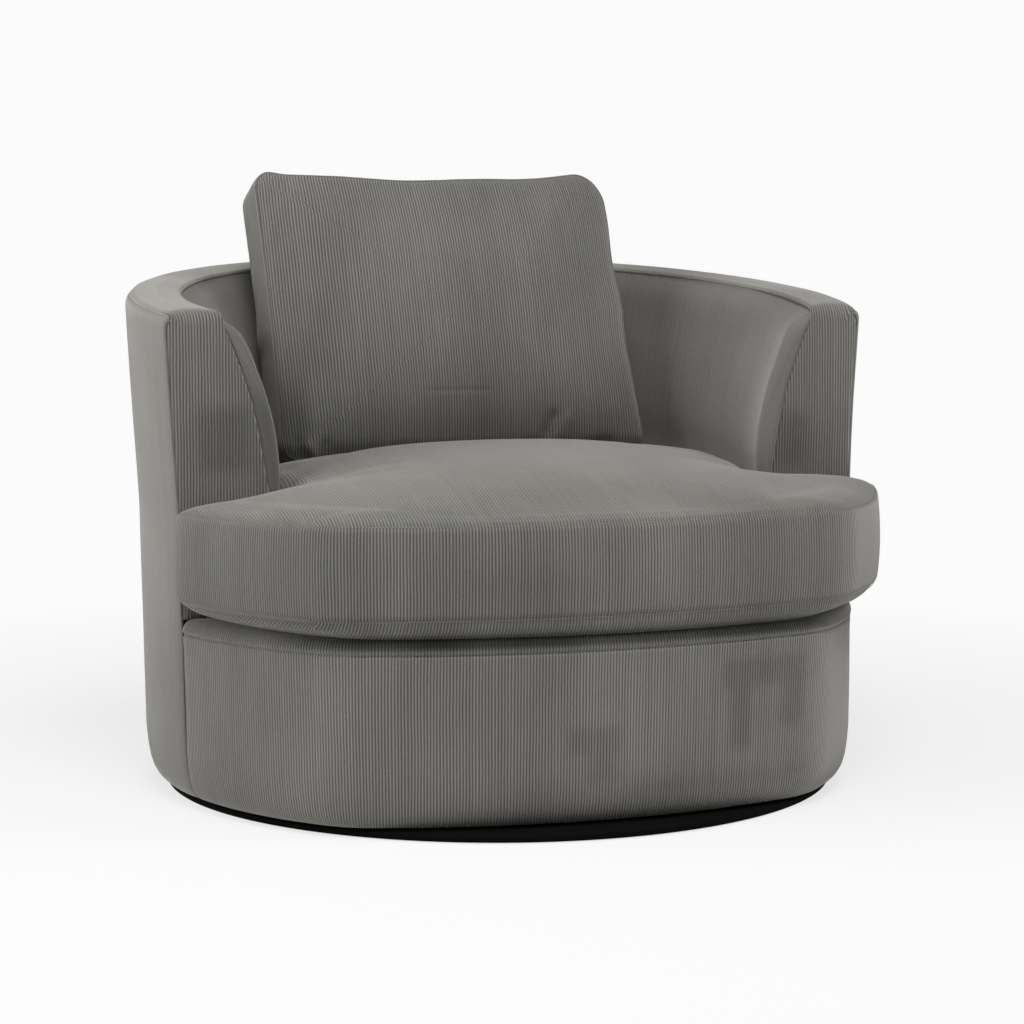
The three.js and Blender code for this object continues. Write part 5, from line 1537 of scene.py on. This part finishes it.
@dataclass(frozen=True)
class Platform:
    """The padded platform under the seat cushion and the dust cover under the body."""

    def build(self) -> None:
        """Builds and dresses both."""
        self.sheet_from("seat_deck", "seat_deck_pad", 2.2)
        self.sheet_from("dust_cover", "dust_cover_cloth", 0.3)

    def sheet_from(self, node: str, name: str, rounding: float) -> None:
        """Makes a piece with rounded edges from a flat CAD node.

        Args:
            node: The CAD node.
            name: Name of the piece.
            rounding: Radius of its edges.
        """
        piece = frame["nodes"][node].copy()
        piece.data = piece.data.copy()
        piece.name = name
        bpy.context.scene.collection.objects.link(piece)
        piece.parent = None
        piece.matrix_world = Matrix()
        work = bmesh.new()
        work.from_mesh(piece.data)
        bmesh.ops.remove_doubles(work, verts=work.verts, dist=0.02 * MM)
        bmesh.ops.dissolve_limit(work, angle_limit=math.radians(2), verts=work.verts, edges=work.edges)
        edges = [e for e in work.edges if len(e.link_faces) == 2 and e.calc_face_angle(0) > 0.9]
        bmesh.ops.bevel(work, geom=edges, offset=rounding * MM, segments=2, profile=0.5, affect="EDGES",
                        clamp_overlap=True)
        bmesh.ops.recalc_face_normals(work, faces=work.faces)
        work.to_mesh(piece.data)
        work.free()
        piece.data.shade_smooth()
        dress(piece, CAMBRIC, "chair", node)


@dataclass(frozen=True)
class BaseBoard:
    """The round black board on the floor, with rounded edges."""

    radius: float = 474.0
    bore: float = 8.3
    low: float = 1.2
    high: float = 14.3
    rim_high: float = 10.2
    edge: float = 2.5
    sides: int = 160

    def build(self) -> None:
        """Turns and dresses the board."""
        turns = np.radians([0, 22.5, 45, 67.5, 90])
        r, e = self.radius - self.edge, self.edge
        recess = [(self.bore, self.high), (self.bore, 10.4), (16.4, 10.4), (16.4, self.low), (120, self.low)]
        lower = [(r + e * math.sin(a), self.low + e - e * math.cos(a)) for a in turns]
        upper = [(r + e * math.cos(a), self.rim_high - e + e * math.sin(a)) for a in turns]
        profile = np.array([*recess, (300, self.low), *lower, *upper, (425, self.rim_high), (330, self.high),
                            (120, self.high), recess[0]])
        around = np.linspace(0, 2 * math.pi, self.sides + 1)[:, None]
        radius, z = np.broadcast_arrays(profile[None, :, 0], profile[None, :, 1])
        points = BARREL.along(radius + 0 * around, around + 0 * radius, z + 0 * around)
        skin = Skin()
        skin.add(points, points[..., :2])
        piece = skin.build("base_board")
        dress(piece, BLACK_BOARD, "base", "base_disc")


def dress_frame() -> None:
    """Gives every CAD node that stays its procedural material."""
    slots = {f.slot: f for f in (BLACK_BOARD, NYLON, STEEL, PLYWOOD, FIBREBOARD, CAMBRIC, FOAM, ZIP, CORD)}
    rows = {row["node"]: row["material_slot"] for row in frame["record"]["subparts"]}
    for name, node in frame["nodes"].items():
        coat(node, slots[rows[name]])
    log.info("finishes on %d CAD nodes", len(rows))


@dataclass(frozen=True)
class Lamp:
    """One soft lamp that looks at the chair."""

    name: str
    place: tuple[float, float, float]
    size: float
    power: float

    def hang(self) -> None:
        """Adds the lamp."""
        light = bpy.data.lights.new(self.name, "AREA")
        light.size = self.size
        light.energy = self.power
        lamp = bpy.data.objects.new(self.name, light)
        lamp.location = self.place
        lamp.rotation_euler = (Vector((0, 0, 0.4)) - lamp.location).to_track_quat("-Z", "Y").to_euler()
        bpy.context.scene.collection.objects.link(lamp)


@dataclass(frozen=True)
class Studio:
    """Floor, light and camera of the photograph."""

    camera_place: tuple[float, float, float] = (-1.1213, -3.5290, 0.7519)
    forward: tuple[float, float, float] = (0.29965766, 0.94981462, -0.08976347)
    roll: float = -0.13
    lens: float = 90.53
    shift: tuple[float, float] = (0.026, -0.0324)
    dim: float = 0.09
    lamps: tuple[Lamp, ...] = (
        Lamp("key", (-3.4, 0.3, 2.8), 2.2, 57.0),
        Lamp("left", (-3.6, -0.8, 1.5), 2.2, 72.0),
        Lamp("right", (3.4, -1.8, 2.4), 2.2, 80.0),
        Lamp("front", (-0.5, -2.8, 4.0), 2.2, 170.0),
        Lamp("top", (0.0, -0.3, 3.6), 2.2, 9.0),
    )

    def build(self) -> None:
        """Builds the studio."""
        self.floor()
        self.world()
        for lamp in self.lamps:
            lamp.hang()
        self.camera()
        bpy.context.scene.view_settings.view_transform = "Standard"

    def floor(self) -> None:
        """A pale floor that keeps the chair's shadow."""
        mesh = bpy.data.meshes.new("floor")
        mesh.from_pydata([(-30, -30, 0), (30, -30, 0), (30, 30, 0), (-30, 30, 0)], [], [(0, 1, 2, 3)])
        floor = bpy.data.objects.new("floor", mesh)
        bpy.context.scene.collection.objects.link(floor)
        material = bpy.data.materials.new("floor")
        g = Graph(material)
        path = g.node("LightPath")
        plain = g.node("BsdfDiffuse", {"Color": (0.7, 0.7, 0.7, 1)}).outputs[0]
        white = g.node("Emission", {"Color": PAPER_WHITE, "Strength": 1.0}).outputs[0]
        seen = g.math("MAXIMUM", path.outputs["Is Camera Ray"], path.outputs["Is Glossy Ray"])
        spot = g.node("TexCoord").outputs["Object"]
        away = g.node("VectorMath", {0: spot}, operation="LENGTH").outputs["Value"]
        far = g.node("MapRange", {"Value": away, "From Min": 0.7, "From Max": 1.9, "To Min": 0.72, "To Max": 1.0})
        seen = g.math("MULTIPLY", seen, far.outputs[0])
        g.end(g.node("MixShader", {0: seen, 1: plain, 2: white}))
        mesh.materials.append(material)

    def world(self) -> None:
        """A white background over a level, dimmer light."""
        world = bpy.data.worlds.new("studio")
        bpy.context.scene.world = world
        g = Graph(world)
        path = g.node("LightPath").outputs
        clear = g.math("MAXIMUM", path["Is Camera Ray"], path["Is Glossy Ray"])
        clear = g.math("MAXIMUM", clear, path["Is Transmission Ray"])
        dim = g.node("Background", {"Color": (1, 1, 1, 1), "Strength": self.dim}).outputs[0]
        bright = g.node("Background", {"Color": PAPER_WHITE}).outputs[0]
        g.end(g.node("MixShader", {0: clear, 1: dim, 2: bright}))

    def camera(self) -> None:
        """The camera at the photograph's place and angle."""
        data = bpy.data.cameras.new("camera")
        data.lens = self.lens
        data.sensor_width = 36.0
        data.shift_x, data.shift_y = self.shift
        data.clip_end = 100.0
        camera = bpy.data.objects.new("camera", data)
        forward = Vector(self.forward)
        turn = forward.to_track_quat("-Z", "Y").to_matrix().to_4x4()
        turn @= Matrix.Rotation(math.radians(self.roll), 4, "Z")
        camera.matrix_world = Matrix.Translation(self.camera_place) @ turn
        bpy.context.scene.collection.objects.link(camera)
        bpy.context.scene.camera = camera


def main() -> None:
    """Builds the studio and the chair, piece by piece."""
    logging.basicConfig(level=logging.INFO, format="%(name)s: %(message)s")
    Studio().build()
    dress_frame()
    BarrelCovers().build()
    Apron().build()
    Platform().build()
    BaseBoard().build()
    SeatCushion().build()
    BackCushion().build()


if __name__ == "__main__":
    main()
